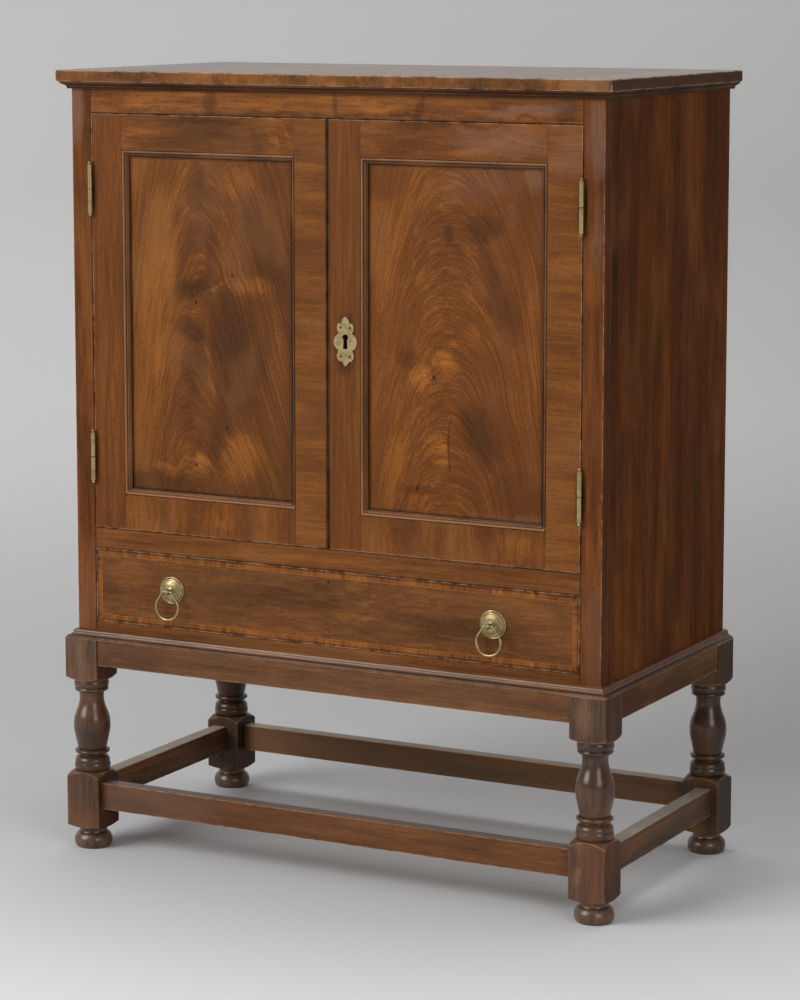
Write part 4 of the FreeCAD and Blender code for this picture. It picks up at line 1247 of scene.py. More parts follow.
class Palette:
    """Every finish of the cabinet."""

    # The colour of rubbed edges, also used as their painted highlight.
    worn_and_highlit = shade(184, 147, 119)
    side = Wood(
        "side_veneer",
        Tones(shade(42, 20, 6), shade(84, 44, 12), shade(123, 66, 20)),
        figure=Figure.STRIPED,
        grain=Grain(streaks=21.0, stretch=0.07, wander=0.05, contrast=0.55, strand=0.34),
        polish=Polish(gloss=0.46, shine=0.05),
        wear_and_highlight=WearAndHighlight(0.25),
    )
    top_rail = Wood(
        "top_rail_veneer",
        Tones(shade(58, 30, 10), shade(114, 66, 25), shade(163, 98, 38)),
        grain=Grain(streaks=34.0, stretch=0.10, contrast=0.5),
        wear_and_highlight=WearAndHighlight(0.5, worn_and_highlit, 1.1 * MM),
        sheens_and_hazes=(Patch(0.335, 1.200, 0.090, 0.014, 0.34),),
        patches=(
            Patch(-0.405, 1.199, 0.060, 0.024, -0.12),
            Patch(-0.310, 1.203, 0.070, 0.010, 0.12),
            Patch(-0.205, 1.199, 0.015, 0.032, -0.22, 10.0),
            Patch(-0.110, 1.200, 0.090, 0.011, 0.12),
            Patch(0.014, 1.199, 0.008, 0.030, -0.21, -8.0),
            Patch(0.085, 1.201, 0.060, 0.012, 0.17),
            Patch(0.157, 1.199, 0.008, 0.030, -0.20, 8.0),
            Patch(0.260, 1.203, 0.090, 0.009, 0.08),
            Patch(0.396, 1.199, 0.030, 0.030, -0.17),
            Patch(0.000, 1.183, 0.600, 0.005, -0.17),
        ),
    )
    front_stile = Stile(
        "stile_veneer",
        Tones(shade(53, 27, 9), shade(95, 52, 21), shade(134, 76, 30)),
        figure=Figure.STRIPED,
        grain=Grain(streaks=48.0, stretch=0.05, contrast=0.5),
        polish=Polish(shine=0.07),
        wear_and_highlight=WearAndHighlight(0.45, worn_and_highlit, 1.3 * MM),
        sheens_and_hazes=(
            Patch(0.445, 1.165, 0.022, 0.080, 0.34),
            Patch(0.448, 1.020, 0.012, 0.070, 0.22),
            Patch(0.444, 0.420, 0.018, 0.120, 0.16),
            Patch(-0.448, 1.190, 0.018, 0.080, 0.42),
            Patch(-0.440, 0.420, 0.025, 0.110, 0.12),
        ),
        patches=(
            Patch(-0.440, 0.430, 0.030, 0.100, 0.12),
            Patch(-0.440, 0.800, 0.022, 0.220, 0.15),
            Patch(0.442, 0.430, 0.018, 0.110, -0.20),
            Patch(0.447, 1.003, 0.006, 0.016, -0.40),
            Patch(0.440, 0.945, 0.014, 0.040, 0.16),
            Patch(0.442, 0.670, 0.014, 0.130, -0.18),
        ),
    )
    low_rail = Wood(
        "low_rail_veneer",
        Tones(shade(61, 33, 11), shade(106, 62, 24), shade(146, 89, 38)),
        grain=Grain(streaks=70.0, stretch=0.04, contrast=0.5),
        wear_and_highlight=WearAndHighlight(0.6, worn_and_highlit, 1.2 * MM),
    )
    top = Board(
        "top_veneer",
        Tones(shade(56, 33, 17), shade(106, 66, 34), shade(150, 96, 50)),
        grain=Grain(streaks=26.0, stretch=0.06, contrast=0.6),
        polish=Polish(0.34, 0.10, 0.52),
        dust=DustAndSheen(0.5),
        sheens_and_hazes=(Patch(0.440, 1.237, 0.060, 0.060, 0.35),),
        wear_and_highlight=WearAndHighlight(0.85, shade(206, 172, 142), 2.0 * MM),
        segments=Segments(Along.X, 0.083, 0.09),
        patches=(
            # Painted shade on the right end of the front edge.
            Patch(0.477, 1.237, 0.009, 0.080, -0.45, crisp=True),
            Patch(-0.430, 1.237, 0.120, 0.080, -0.14),
        ),
    )
    # Its tones are darkened as painted shade under the overhang of the top.
    cornice = Grooved(
        "cornice_wood",
        Tones(shade(34, 19, 10), shade(66, 38, 19), shade(98, 58, 30)),
        wear_and_highlight=WearAndHighlight(0.1),
        grooves=(1.8 * MM, 7.3 * MM),
    )
    door_plain = Wood(
        "door_straight_veneer",
        Tones(shade(61, 32, 11), shade(101, 57, 21), shade(135, 79, 31)),
        grain=Grain(streaks=80.0, stretch=0.05, contrast=0.38),
        cloud=Cloud(0.35, shade(94, 46, 17)),
        wear_and_highlight=WearAndHighlight(0.6, worn_and_highlit, 1.2 * MM),
        patches=(Patch(0.031, 0.845, 0.026, 0.062, -0.26),),
    )
    door_cross = Wood(
        "door_cross_veneer",
        Tones(shade(60, 32, 9), shade(108, 62, 23), shade(146, 91, 34)),
        figure=Figure.STRIPED,
        grain=Grain(streaks=38.0, stretch=0.14, wander=0.014, contrast=0.36, strand=0.17),
        wear_and_highlight=WearAndHighlight(0.6, worn_and_highlit, 1.2 * MM),
        sheens_and_hazes=(Patch(0.400, 1.135, 0.040, 0.050, 0.20),),
    )
    door_swirl = Rails(
        "door_swirl_veneer",
        Tones(shade(59, 31, 9), shade(102, 58, 21), shade(150, 89, 31)),
        figure=Figure.SWIRL,
        grain=Grain(streaks=22.0, stretch=0.32, contrast=0.42, strand=0.20),
        wear_and_highlight=WearAndHighlight(0.6, worn_and_highlit, 1.2 * MM),
        patches=(
            Patch(-0.215, 1.150, 0.190, 0.040, -0.15),
            Patch(-0.335, 1.149, 0.060, 0.012, 0.12),
            Patch(-0.250, 1.174, 0.150, 0.010, -0.17),
            Patch(-0.210, 1.143, 0.080, 0.012, -0.10),
            Patch(-0.094, 1.144, 0.006, 0.026, 0.15, -32.0),
            Patch(-0.074, 1.152, 0.005, 0.022, 0.12, -32.0),
            Patch(-0.120, 1.140, 0.014, 0.026, -0.12, -28.0),
            Patch(-0.200, 0.553, 0.060, 0.014, 0.08),
            Patch(-0.300, 0.548, 0.016, 0.030, -0.09),
            Patch(0.0705, 1.145, 0.024, 0.018, 0.10),
            Patch(0.190, 1.174, 0.130, 0.009, -0.14),
            Patch(0.140, 1.140, 0.050, 0.012, -0.10),
            Patch(0.330, 0.548, 0.080, 0.030, 0.16),
            Patch(0.120, 0.550, 0.016, 0.030, -0.08),
        ),
        sheens_and_hazes=(Patch(0.290, 1.150, 0.100, 0.030, 0.28),),
    )
    door_moulding = Moulded(
        "door_moulding_wood",
        Tones(shade(44, 26, 12), shade(94, 57, 28), shade(140, 98, 66)),
        polish=Polish(0.34, 0.18, THIN_COAT),
    )
    left_panel = Crotch(
        "left_crotch_veneer",
        Tones(shade(52, 29, 10), shade(99, 56, 20), shade(155, 94, 34)),
        upper=Arch(-0.232, (30.0, 2.0), (4.0, 1.36)),
        lower=Arch(-0.243, (90.0, 2.3), (4.0, 1.36)),
        change=0.862,
        knots=(
            Patch(-0.1725, 0.935, 0.026, 0.026, 0.012),
            Patch(-0.238, 0.891, 0.026, 0.026, 0.014),
            Patch(-0.1834, 0.697, 0.026, 0.026, 0.014),
            Patch(-0.2397, 0.636, 0.024, 0.026, 0.014),
        ),
        patches=(
            Patch(-0.235, 1.076, 0.022, 0.036, -0.22),
            Patch(-0.233, 0.975, 0.045, 0.100, -0.12),
            Patch(-0.235, 0.952, 0.026, 0.032, 0.15),
            Patch(-0.118, 0.984, 0.036, 0.110, -0.17, -24.0),
            Patch(-0.162, 1.068, 0.055, 0.048, 0.12),
            Patch(-0.192, 1.052, 0.040, 0.014, -0.15, 20.0),
            Patch(-0.248, 0.912, 0.045, 0.026, -0.17),
            Patch(-0.205, 0.913, 0.042, 0.0040, 0.18, -34.0),
            Patch(-0.188, 0.919, 0.030, 0.012, 0.08, -34.0),
            Patch(-0.136, 0.920, 0.050, 0.022, 0.17),
            Patch(-0.170, 0.821, 0.060, 0.125, -0.18, -10.0),
            Patch(-0.094, 0.752, 0.026, 0.150, 0.09),
            Patch(-0.213, 0.800, 0.008, 0.090, 0.14, -4.0),
            Patch(-0.253, 0.846, 0.045, 0.026, -0.20, 12.0),
            Patch(-0.244, 0.787, 0.030, 0.045, -0.17),
            Patch(-0.318, 0.850, 0.045, 0.260, 0.12, 6.0),
            Patch(-0.157, 0.656, 0.050, 0.050, 0.21),
            Patch(-0.205, 0.693, 0.034, 0.060, -0.14, 20.0),
            Patch(-0.226, 0.643, 0.018, 0.014, 0.19),
            Patch(-0.296, 0.628, 0.030, 0.010, 0.15),
            Patch(-0.305, 0.606, 0.090, 0.026, -0.21),
        ),
        left_lift=0.03,
    )
    right_panel = Crotch(
        "right_crotch_veneer",
        Tones(shade(55, 30, 9), shade(104, 58, 20), shade(159, 95, 35)),
        upper=Arch(0.199, (50.0, 2.4), (30.0, 2.4)),
        lower=Arch(0.192, (50.0, 2.4), (26.0, 2.3)),
        change=0.80,
        knots=(
            Patch(0.1767, 0.7986, 0.022, 0.022, 0.014),
            Patch(0.148, 0.629, 0.016, 0.012, 0.010),
        ),
        patches=(
            Patch(0.156, 0.797, 0.024, 0.030, 0.20),
            Patch(0.196, 0.818, 0.026, 0.020, 0.22, 30.0),
            Patch(0.134, 0.828, 0.026, 0.028, -0.15),
            Patch(0.201, 1.019, 0.012, 0.020, -0.17),
            Patch(0.2605, 1.024, 0.042, 0.024, -0.20),
            Patch(0.287, 0.924, 0.028, 0.095, -0.21, -20.0),
            Patch(0.107, 0.975, 0.018, 0.130, 0.07, 18.0),
            Patch(0.340, 0.860, 0.018, 0.200, 0.08),
            Patch(0.254, 0.7125, 0.040, 0.070, -0.21, -25.0),
            Patch(0.185, 0.690, 0.030, 0.030, 0.14),
            Patch(0.2053, 0.698, 0.003, 0.050, -0.22),
            Patch(0.324, 0.628, 0.070, 0.045, -0.12),
            Patch(0.148, 0.629, 0.040, 0.012, -0.15),
            Patch(0.091, 1.090, 0.060, 0.035, -0.09),
            Patch(0.324, 1.060, 0.070, 0.080, -0.06),
            Patch(0.110, 0.660, 0.024, 0.080, 0.11, 12.0),
        ),
        sheens_and_hazes=(
            Patch(0.345, 1.105, 0.030, 0.030, 0.26),
            Patch(0.330, 0.590, 0.070, 0.010, 0.18),
            Patch(0.250, 1.090, 0.080, 0.040, 0.14),
        ),
        left_lift=0.04,
        right_lift=-0.02,
    )
    drawer = Wood(
        "drawer_veneer",
        Tones(shade(56, 32, 14), shade(100, 61, 29), shade(141, 88, 40)),
        figure=Figure.SWIRL,
        grain=Grain(streaks=24.0, stretch=0.20, contrast=0.45),
        cloud=Cloud(0.35, shade(92, 59, 30)),
        wear_and_highlight=WearAndHighlight(0.2, worn_and_highlit, 0.8 * MM),
        patches=(
            Patch(0.020, 0.459, 0.018, 0.060, 0.14, 74.0),
            Patch(0.055, 0.443, 0.016, 0.060, 0.11, 66.0),
            Patch(0.070, 0.424, 0.010, 0.050, 0.08, 70.0),
            Patch(-0.010, 0.441, 0.010, 0.050, -0.10, 76.0),
            Patch(0.200, 0.416, 0.018, 0.075, -0.09, 78.0),
            Patch(-0.360, 0.452, 0.050, 0.028, 0.11),
            Patch(-0.180, 0.420, 0.090, 0.020, -0.07),
            Patch(0.360, 0.440, 0.040, 0.030, 0.07),
            Patch(0.000, 0.474, 0.0030, 0.0030, -0.60, crisp=True),
        ),
    )
    banding = Crossband(
        "crossband_veneer",
        Tones(shade(64, 36, 15), shade(122, 71, 28), shade(168, 104, 43)),
        grain=Grain(streaks=130.0, contrast=0.55),
        cloud=Cloud(0.5, shade(106, 56, 27)),
        wear_and_highlight=WearAndHighlight(0.7, worn_and_highlit, 1.2 * MM),
    )
    leg = Leg(
        "leg_wood",
        Tones(shade(42, 31, 24), shade(87, 65, 51), shade(122, 90, 68)),
        grain=Grain(streaks=40.0, stretch=0.05, contrast=0.6, strand=0.18),
        polish=Polish(0.22, 0.11, 0.60),
        wear_and_highlight=WearAndHighlight(0.28, shade(160, 122, 94), 1.2 * MM),
        cloud=Cloud(0.25, shade(118, 68, 38)),
        patches=(
            Patch(-0.444, 0.316, 0.009, 0.050, 0.18),
            Patch(-0.462, 0.316, 0.008, 0.050, -0.12),
            Patch(-0.426, 0.316, 0.008, 0.050, -0.12),
            Patch(0.437, 0.318, 0.020, 0.050, 0.26),
            Patch(-0.446, 0.090, 0.030, 0.060, -0.14),
            Patch(-0.446, 0.172, 0.040, 0.050, -0.18),
            Patch(0.437, 0.165, 0.045, 0.055, 0.26),
            Patch(0.431, 0.070, 0.008, 0.022, 0.25, 12.0),
        ),
        grooves=(118.4 * MM, 127.6 * MM, 221.4 * MM, 228.2 * MM),
        grime_and_shade=0.6,
        rubbed=0.5,
    )
    back_leg = replace(
        leg,
        name="back_leg_wood",
        tones=Tones(shade(34, 27, 20), shade(69, 53, 39), shade(98, 75, 54)),
        turned_tint=(0.76, 0.57, 0.41),
    )
    bun_foot = Grooved(
        "foot_wood",
        Tones(shade(42, 30, 21), shade(86, 64, 47), shade(124, 92, 64)),
        grain=Grain(streaks=40.0, stretch=0.05, contrast=0.6, strand=0.18),
        polish=Polish(0.22, 0.35, 0.30),
        cloud=Cloud(0.35, shade(118, 68, 38)),
        grooves=(24.5 * MM, 33.5 * MM),
    )
    apron = Wood(
        "apron_wood",
        Tones(shade(46, 28, 16), shade(98, 65, 41), shade(136, 91, 55)),
        grain=Grain(streaks=30.0, stretch=0.06, contrast=0.38, strand=0.18),
        polish=Polish(0.36, 0.12, THIN_COAT),
        wear_and_highlight=WearAndHighlight(0.5, shade(172, 132, 100), 1.4 * MM),
        patches=(Patch(-0.370, 0.320, 0.100, 0.060, -0.10),),
    )
    # A darker copy of the apron: painted shade on the side aprons.
    shaded_side_apron = replace(
        apron,
        name="side_apron_wood",
        tones=Tones(shade(38, 24, 14), shade(78, 50, 30), shade(136, 91, 55)),
        polish=Polish(0.36, 0.06, 0.0),
    )
    stretcher = Wood(
        "stretcher_wood",
        Tones(shade(48, 30, 19), shade(96, 61, 38), shade(138, 86, 48)),
        grain=Grain(streaks=30.0, stretch=0.06, contrast=0.4, strand=0.18),
        polish=Polish(0.34, 0.12, THIN_COAT),
        wear_and_highlight=WearAndHighlight(0.7, shade(186, 140, 104), 1.5 * MM),
        dust=DustAndSheen(0.52),
        patches=(
            Patch(0.050, 0.088, 0.220, 0.050, 0.08),
            Patch(0.340, 0.088, 0.080, 0.050, 0.08),
            Patch(-0.330, 0.088, 0.150, 0.060, -0.10),
        ),
        sheens_and_hazes=(Patch(-0.330, 0.088, 0.170, 0.070, 0.22),),
    )
    right_stretcher = replace(
        stretcher,
        name="right_stretcher_wood",
        tones=Tones(shade(36, 26, 19), shade(74, 54, 38), shade(138, 86, 48)),
        patches=(),
        sheens_and_hazes=(),
        dust=DustAndSheen(0.85, shade(160, 151, 139)),
    )
    back_stretcher = replace(
        right_stretcher,
        name="back_stretcher_wood",
        tones=Tones(shade(56, 42, 31), shade(106, 80, 58), shade(138, 86, 48)),
    )
    # Painted shade: the seen inner face of the left stretcher is darkened.
    shaded_left_stretcher = replace(
        right_stretcher,
        name="left_stretcher_wood",
        tones=Tones(shade(26, 18, 12), shade(54, 37, 25), shade(138, 86, 48)),
    )
    stand_moulding = Mitred(
        "stand_moulding_wood",
        Tones(shade(58, 37, 23), shade(110, 72, 45), shade(156, 106, 68)),
        grain=Grain(streaks=60.0, contrast=0.6, strand=0.16),
        polish=Polish(0.24, 0.40, 0.12),
        wear_and_highlight=WearAndHighlight(0.3, shade(190, 150, 120), 1.2 * MM),
        grooves=(4.4 * MM,),
        groove_width=1.6 * MM,
        grime_and_shade=0.85,
        patches=(Patch(-0.360, 0.350, 0.160, 0.060, -0.16),),
    )
    brass = Metal(
        "old_brass",
        shade(176, 156, 112),
        shade(112, 96, 62),
        shade(52, 42, 26),
        gloss=0.27,
        tarnished=0.65,
    )
    steel = Metal("old_steel", shade(120, 118, 114), shade(84, 74, 66), shade(60, 44, 34), gloss=0.42)
    inside = Bare("inside_wood", shade(104, 74, 46), shade(166, 128, 86), shade(96, 72, 50))
    back_boards = Boards("back_wood", shade(104, 74, 46), shade(166, 128, 86), shade(96, 72, 50))


class Dresser:
    """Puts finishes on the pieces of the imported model."""

    def __init__(self, nodes: Mapping[str, bpy.types.Object]) -> None:
        """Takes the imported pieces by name."""
        self.nodes = nodes
        self.count = 0

    def _seed(self) -> float:
        """A new number for the next piece."""
        self.count += 1
        return self.count * 0.377

    def _put(self, name: str, material: bpy.types.Material) -> None:
        """Puts a material on a piece."""
        for slot in self.nodes[name].material_slots:
            slot.material = material
        log.info("dressed %s with %s", name, material.name)

    def wood(self, name: str, finish: Wood, along: Along, block: Optional[Block] = None) -> None:
        """Dresses a wooden piece.

        Args:
            name: The piece's name.
            finish: The wood.
            along: The direction of its fibres.
            block: The box whose edges are worn, or None for the piece's own box.
        """
        found = block or Block.of(name)
        self._put(name, finish.material(name, along, found, self._seed()))

    def metal(self, name: str, finish: Metal) -> None:
        """Dresses a metal piece."""
        self._put(name, finish.material(name, self._seed()))

    def bare(self, name: str, finish: Bare, along: Along) -> None:
        """Dresses a piece of bare wood."""
        self._put(name, finish.material(name, along, self._seed()))


def hinge_marks(sign: float) -> Tuple[Patch, ...]:
    """The dark dirt round the two hinges of one side.

    Args:
        sign: -1 for the left side and 1 for the right.

    Returns:
        A dark patch for each hinge.
    """
    inset = 3.0 * MM
    half_leaf = 38.0 * MM
    half_width = 10.0 * MM
    half_height = 44.0 * MM
    grime_and_shade = -0.42
    low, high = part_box("hinge_pins")
    edge = high.x - inset if sign > 0 else low.x + inset
    leaf_low, leaf_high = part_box("left_door_hinge_leaves")
    middles = (leaf_low.z + half_leaf, leaf_high.z - half_leaf)
    return tuple(Patch(edge, middle, half_width, half_height, grime_and_shade, crisp=True) for middle in middles)


def finished_piece(
    name: str, form: bmesh.types.BMesh, material: bpy.types.Material, body: str
) -> bpy.types.Object:
    """Makes an object of a finished shape and lets it ride on a body.

    Args:
        name: The new piece's name.
        form: The shape, in place.
        material: Its finish.
        body: The body that it moves with.

    Returns:
        The new piece.
    """
    mesh = bpy.data.meshes.new(name)
    form.to_mesh(mesh)
    form.free()
    mesh.materials.append(material)
    piece = bpy.data.objects.new(name, mesh)
    bpy.context.scene.collection.objects.link(piece)
    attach(piece, body)
    log.info("made %s with %d faces", name, len(mesh.polygons))
    return piece


@dataclass
class Stand:
    """The stand: turned legs, bun feet, aprons, stretchers and the moulding round the case."""

    def dress(self, dresser: Dresser) -> None:
        """Gives every piece of the stand its finish."""
        for row in ("front", "back"):
            for side in ("left", "right"):
                finish = Palette.leg if row == "front" else Palette.back_leg
                dresser.wood(f"leg_{row}_{side}", finish, Along.Z)
        for side, along, apron, stretcher in (
            ("front", Along.X, Palette.apron, Palette.stretcher),
            ("back", Along.X, Palette.apron, Palette.back_stretcher),
            ("left", Along.Y, Palette.shaded_side_apron, Palette.shaded_left_stretcher),
            ("right", Along.Y, Palette.shaded_side_apron, Palette.right_stretcher),
        ):
            for name, finish in ((f"apron_{side}", apron), (f"stretcher_{side}", stretcher)):
                dresser.wood(name, finish, along, Block.of(name, along=along))
        dresser.wood("bun_feet", Palette.bun_foot, Along.Z)
        dresser.wood("stand_moulding", Palette.stand_moulding, Along.X)


@dataclass
class Case:
    """The case: its front frame, sides, top, cornice and everything inside it."""

    nail_radius: float = 3.2 * MM
    nail_rise: float = 0.7 * MM
    # Width of the painted shade along each gap round the doors and the drawer.
    gap: float = 2.0 * MM

    def dress(self, dresser: Dresser) -> None:
        """Gives every piece of the case its finish."""
        ends = []
        for side in ("left", "right"):
            name = f"front_stile_{side}"
            low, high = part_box(name)
            marks = hinge_marks(1.0 if side == "right" else -1.0)
            # Painted shade along the gap between the stile and the door beside it.
            inner = Joint(Along.X, high.x if side == "left" else low.x, self.gap)
            patches = Palette.front_stile.patches + marks
            finish = replace(Palette.front_stile, patches=patches, joints=(inner,))
            front = Block(low, high + Vector((0, 1, 0)), Along.Z)
            dresser.wood(name, finish, Along.Z, front)
            dresser.wood(f"case_side_{side}", Palette.side, Along.Z)
            ends.append(inner)
        for name, finish, rims in (
            ("top_rail", Palette.top_rail, ("low",)),
            ("mid_rail", Palette.low_rail, ("low", "high")),
            ("bottom_rail", Palette.low_rail, ("high",)),
        ):
            block = Block.of(name, along=Along.X)
            # Painted shade along each gap where the rail meets an opening.
            gap_shades = tuple(Joint(Along.Z, getattr(block, rim).z, self.gap) for rim in rims)
            dresser.wood(name, replace(finish, joints=tuple(ends) + gap_shades), Along.X, block)
        dresser.wood("case_top", Palette.top, Along.Y)
        dresser.wood("cornice_moulding", Palette.cornice, Along.X)
        for name, finish, along in (
            ("case_bottom", Palette.inside, Along.X),
            ("dust_board", Palette.inside, Along.X),
            ("shelves", Palette.inside, Along.X),
            ("back_boards", Palette.back_boards, Along.Z),
            ("drawer_runners", Palette.inside, Along.Y),
        ):
            dresser.bare(name, finish, along)

    def build(self) -> None:
        """Nails the back boards: two flat-domed heads at each row of each board."""
        low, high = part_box("back_boards")
        form = bmesh.new()
        boards = Palette.back_boards
        pitch = (high.x - low.x) / boards.count
        for board in range(boards.count):
            for row in boards.rows:
                for share in boards.shares:
                    x = low.x + (board + share) * pitch
                    self._nail(form, Vector((x, high.y, row)))
        nails = finished_piece("back_nails", form, Palette.steel.material("back_nails", 4.0), "cabinet")

    def _nail(self, form: bmesh.types.BMesh, place: Vector) -> None:
        """Adds one domed head to the shape, against the back."""
        disc = bmesh.ops.create_circle(form, cap_ends=True, radius=self.nail_radius, segments=12)
        face = next(f for f in disc["verts"][0].link_faces)
        raised = bmesh.ops.extrude_discrete_faces(form, faces=[face])["faces"][0]
        bmesh.ops.translate(form, vec=(0, 0, self.nail_rise), verts=list(raised.verts))
        bmesh.ops.scale(form, vec=(0.6, 0.6, 1.0), verts=list(raised.verts))
        verts = list({v for v in disc["verts"]} | set(raised.verts))
        turn = Matrix.Translation(place) @ Matrix.Rotation(-math.pi / 2, 4, "X")
        bmesh.ops.transform(form, matrix=turn, verts=verts)
        bmesh.ops.recalc_face_normals(form, faces=list({f for v in verts for f in v.link_faces}))


@dataclass
class Door:
    """One framed door with its panel and mouldings. Its stiles each have a wood and the direction
    of their fibres."""

    side: str
    hinge_stile: Tuple[Wood, Along]
    meeting_stile: Tuple[Wood, Along]
    panel: Crotch
    moulding_width: float = 9.5 * MM
    # Width of the painted shade along the gap where the doors meet.
    meeting_gap_shade: float = 4.0 * MM

    def dress(self, dresser: Dresser) -> None:
        """Gives every piece of the door its finish."""
        prefix = f"{self.side}_door_"
        leaf = Block.of(prefix + "hinge_stile", prefix + "meeting_stile")
        sign = -1.0 if self.side == "left" else 1.0
        finish, along = self.hinge_stile
        finish = replace(finish, patches=finish.patches + hinge_marks(sign))
        dresser.wood(prefix + "hinge_stile", finish, along, leaf)
        edge = leaf.high.x if self.side == "left" else leaf.low.x
        finish, along = self.meeting_stile
        # Painted shade along the gap where the doors meet.
        finish = replace(finish, joints=(Joint(Along.X, edge, self.meeting_gap_shade),))
        dresser.wood(prefix + "meeting_stile", finish, along, leaf)
        moulding = Block.of(prefix + "moulding")
        ends = tuple(Joint(Along.X, place) for place in (moulding.low.x, moulding.high.x))
        dresser.wood(prefix + "rails", replace(Palette.door_swirl, joints=ends), Along.Z, leaf)
        dresser.wood(prefix + "moulding", Palette.door_moulding, Along.Z)
        # The panel's rim inside the mouldings, where the moulding's painted shade lies.
        inset = Vector((self.moulding_width, 0, self.moulding_width))
        seen = Block(moulding.low + inset, moulding.high - inset)
        dresser.wood(prefix + "panel", self.panel, Along.Z, seen)


@dataclass
class Drawer:
    """The drawer with its crossbanded front, and its two ring pulls."""

    def dress(self, dresser: Dresser) -> None:
        """Gives every piece of the drawer its finish."""
        dresser.wood("drawer_front", Palette.drawer, Along.X)
        dresser.wood("drawer_banding", Palette.banding, Along.Z, Block.of("drawer_banding"))
        dresser.bare("drawer_sides", Palette.inside, Along.Y)
        dresser.bare("drawer_back", Palette.inside, Along.X)
        dresser.bare("drawer_bottom", Palette.inside, Along.X)
        for name in ("pull_roses", "pull_posts", "ring_left", "ring_right"):
            dresser.metal(name, Palette.brass)


@dataclass(frozen=True)
class Screw:
    """A countersunk wood screw with a slotted head."""

    head_radius: float = 3.0 * MM
    head_depth: float = 1.5 * MM
    slot_width: float = 0.8 * MM
    slot_depth: float = 0.7 * MM
    stem_radius: float = 1.6 * MM
    length: float = 16.0 * MM
    point: float = 4.0 * MM
    segments: int = 24

    def add(self, form: bmesh.types.BMesh, place: Vector, facing: float, turn: float) -> None:
        """Adds a screw to a shape.

        Args:
            form: The shape.
            place: The middle of the flat of its head.
            facing: 1 if the head looks to the right and -1 if it looks to the left.
            turn: How far the slot is turned, in degrees.
        """
        before = set(form.verts)
        head = bmesh.ops.create_circle(
            form, cap_ends=True, radius=self.head_radius, segments=self.segments
        )
        face = head["verts"][0].link_faces[0]
        self._body(form, list(face.edges))
        self._slot(form, face)
        verts = [v for v in form.verts if v not in before]
        matrix = Matrix.Translation(place) @ Matrix.Rotation(facing * math.pi / 2, 4, "Y")
        matrix = matrix @ Matrix.Rotation(math.radians(turn), 4, "Z")
        bmesh.ops.transform(form, matrix=matrix, verts=verts)

    def _body(self, form: bmesh.types.BMesh, rim: List[bmesh.types.BMEdge]) -> None:
        """Draws the rim of the head down into the cone, the stem and the point."""
        shank = self.length - self.head_depth - self.point
        narrow = self.stem_radius / self.head_radius
        for drop, scale in ((self.head_depth, narrow), (shank, 1.0), (self.point, 0.1)):
            grown = bmesh.ops.extrude_edge_only(form, edges=rim)["geom"]
            ring = [v for v in grown if isinstance(v, bmesh.types.BMVert)]
            edges = [e for e in grown if isinstance(e, bmesh.types.BMEdge)]
            rim = [e for e in edges if all(v in ring for v in e.verts)]
            bmesh.ops.scale(form, vec=(scale, scale, 1.0), verts=ring)
            bmesh.ops.translate(form, vec=(0, 0, -drop), verts=ring)

    def _slot(self, form: bmesh.types.BMesh, face: bmesh.types.BMFace) -> None:
        """Cuts the slot across the head."""
        faces = [face]
        for side in (-1, 1):
            edges = list({e for f in faces for e in f.edges})
            verts = list({v for f in faces for v in f.verts})
            cut = bmesh.ops.bisect_plane(
                form,
                geom=faces + edges + verts,
                dist=0.01 * MM,
                plane_co=(0, side * self.slot_width / 2, 0),
                plane_no=(0, 1, 0),
            )
            faces = [g for g in cut["geom"] if isinstance(g, bmesh.types.BMFace)]
        middle = min(faces, key=lambda f: abs(f.calc_center_median().y))
        sunk = bmesh.ops.extrude_discrete_faces(form, faces=[middle])["faces"][0]
        bmesh.ops.translate(form, vec=(0, 0, -self.slot_depth), verts=list(sunk.verts))


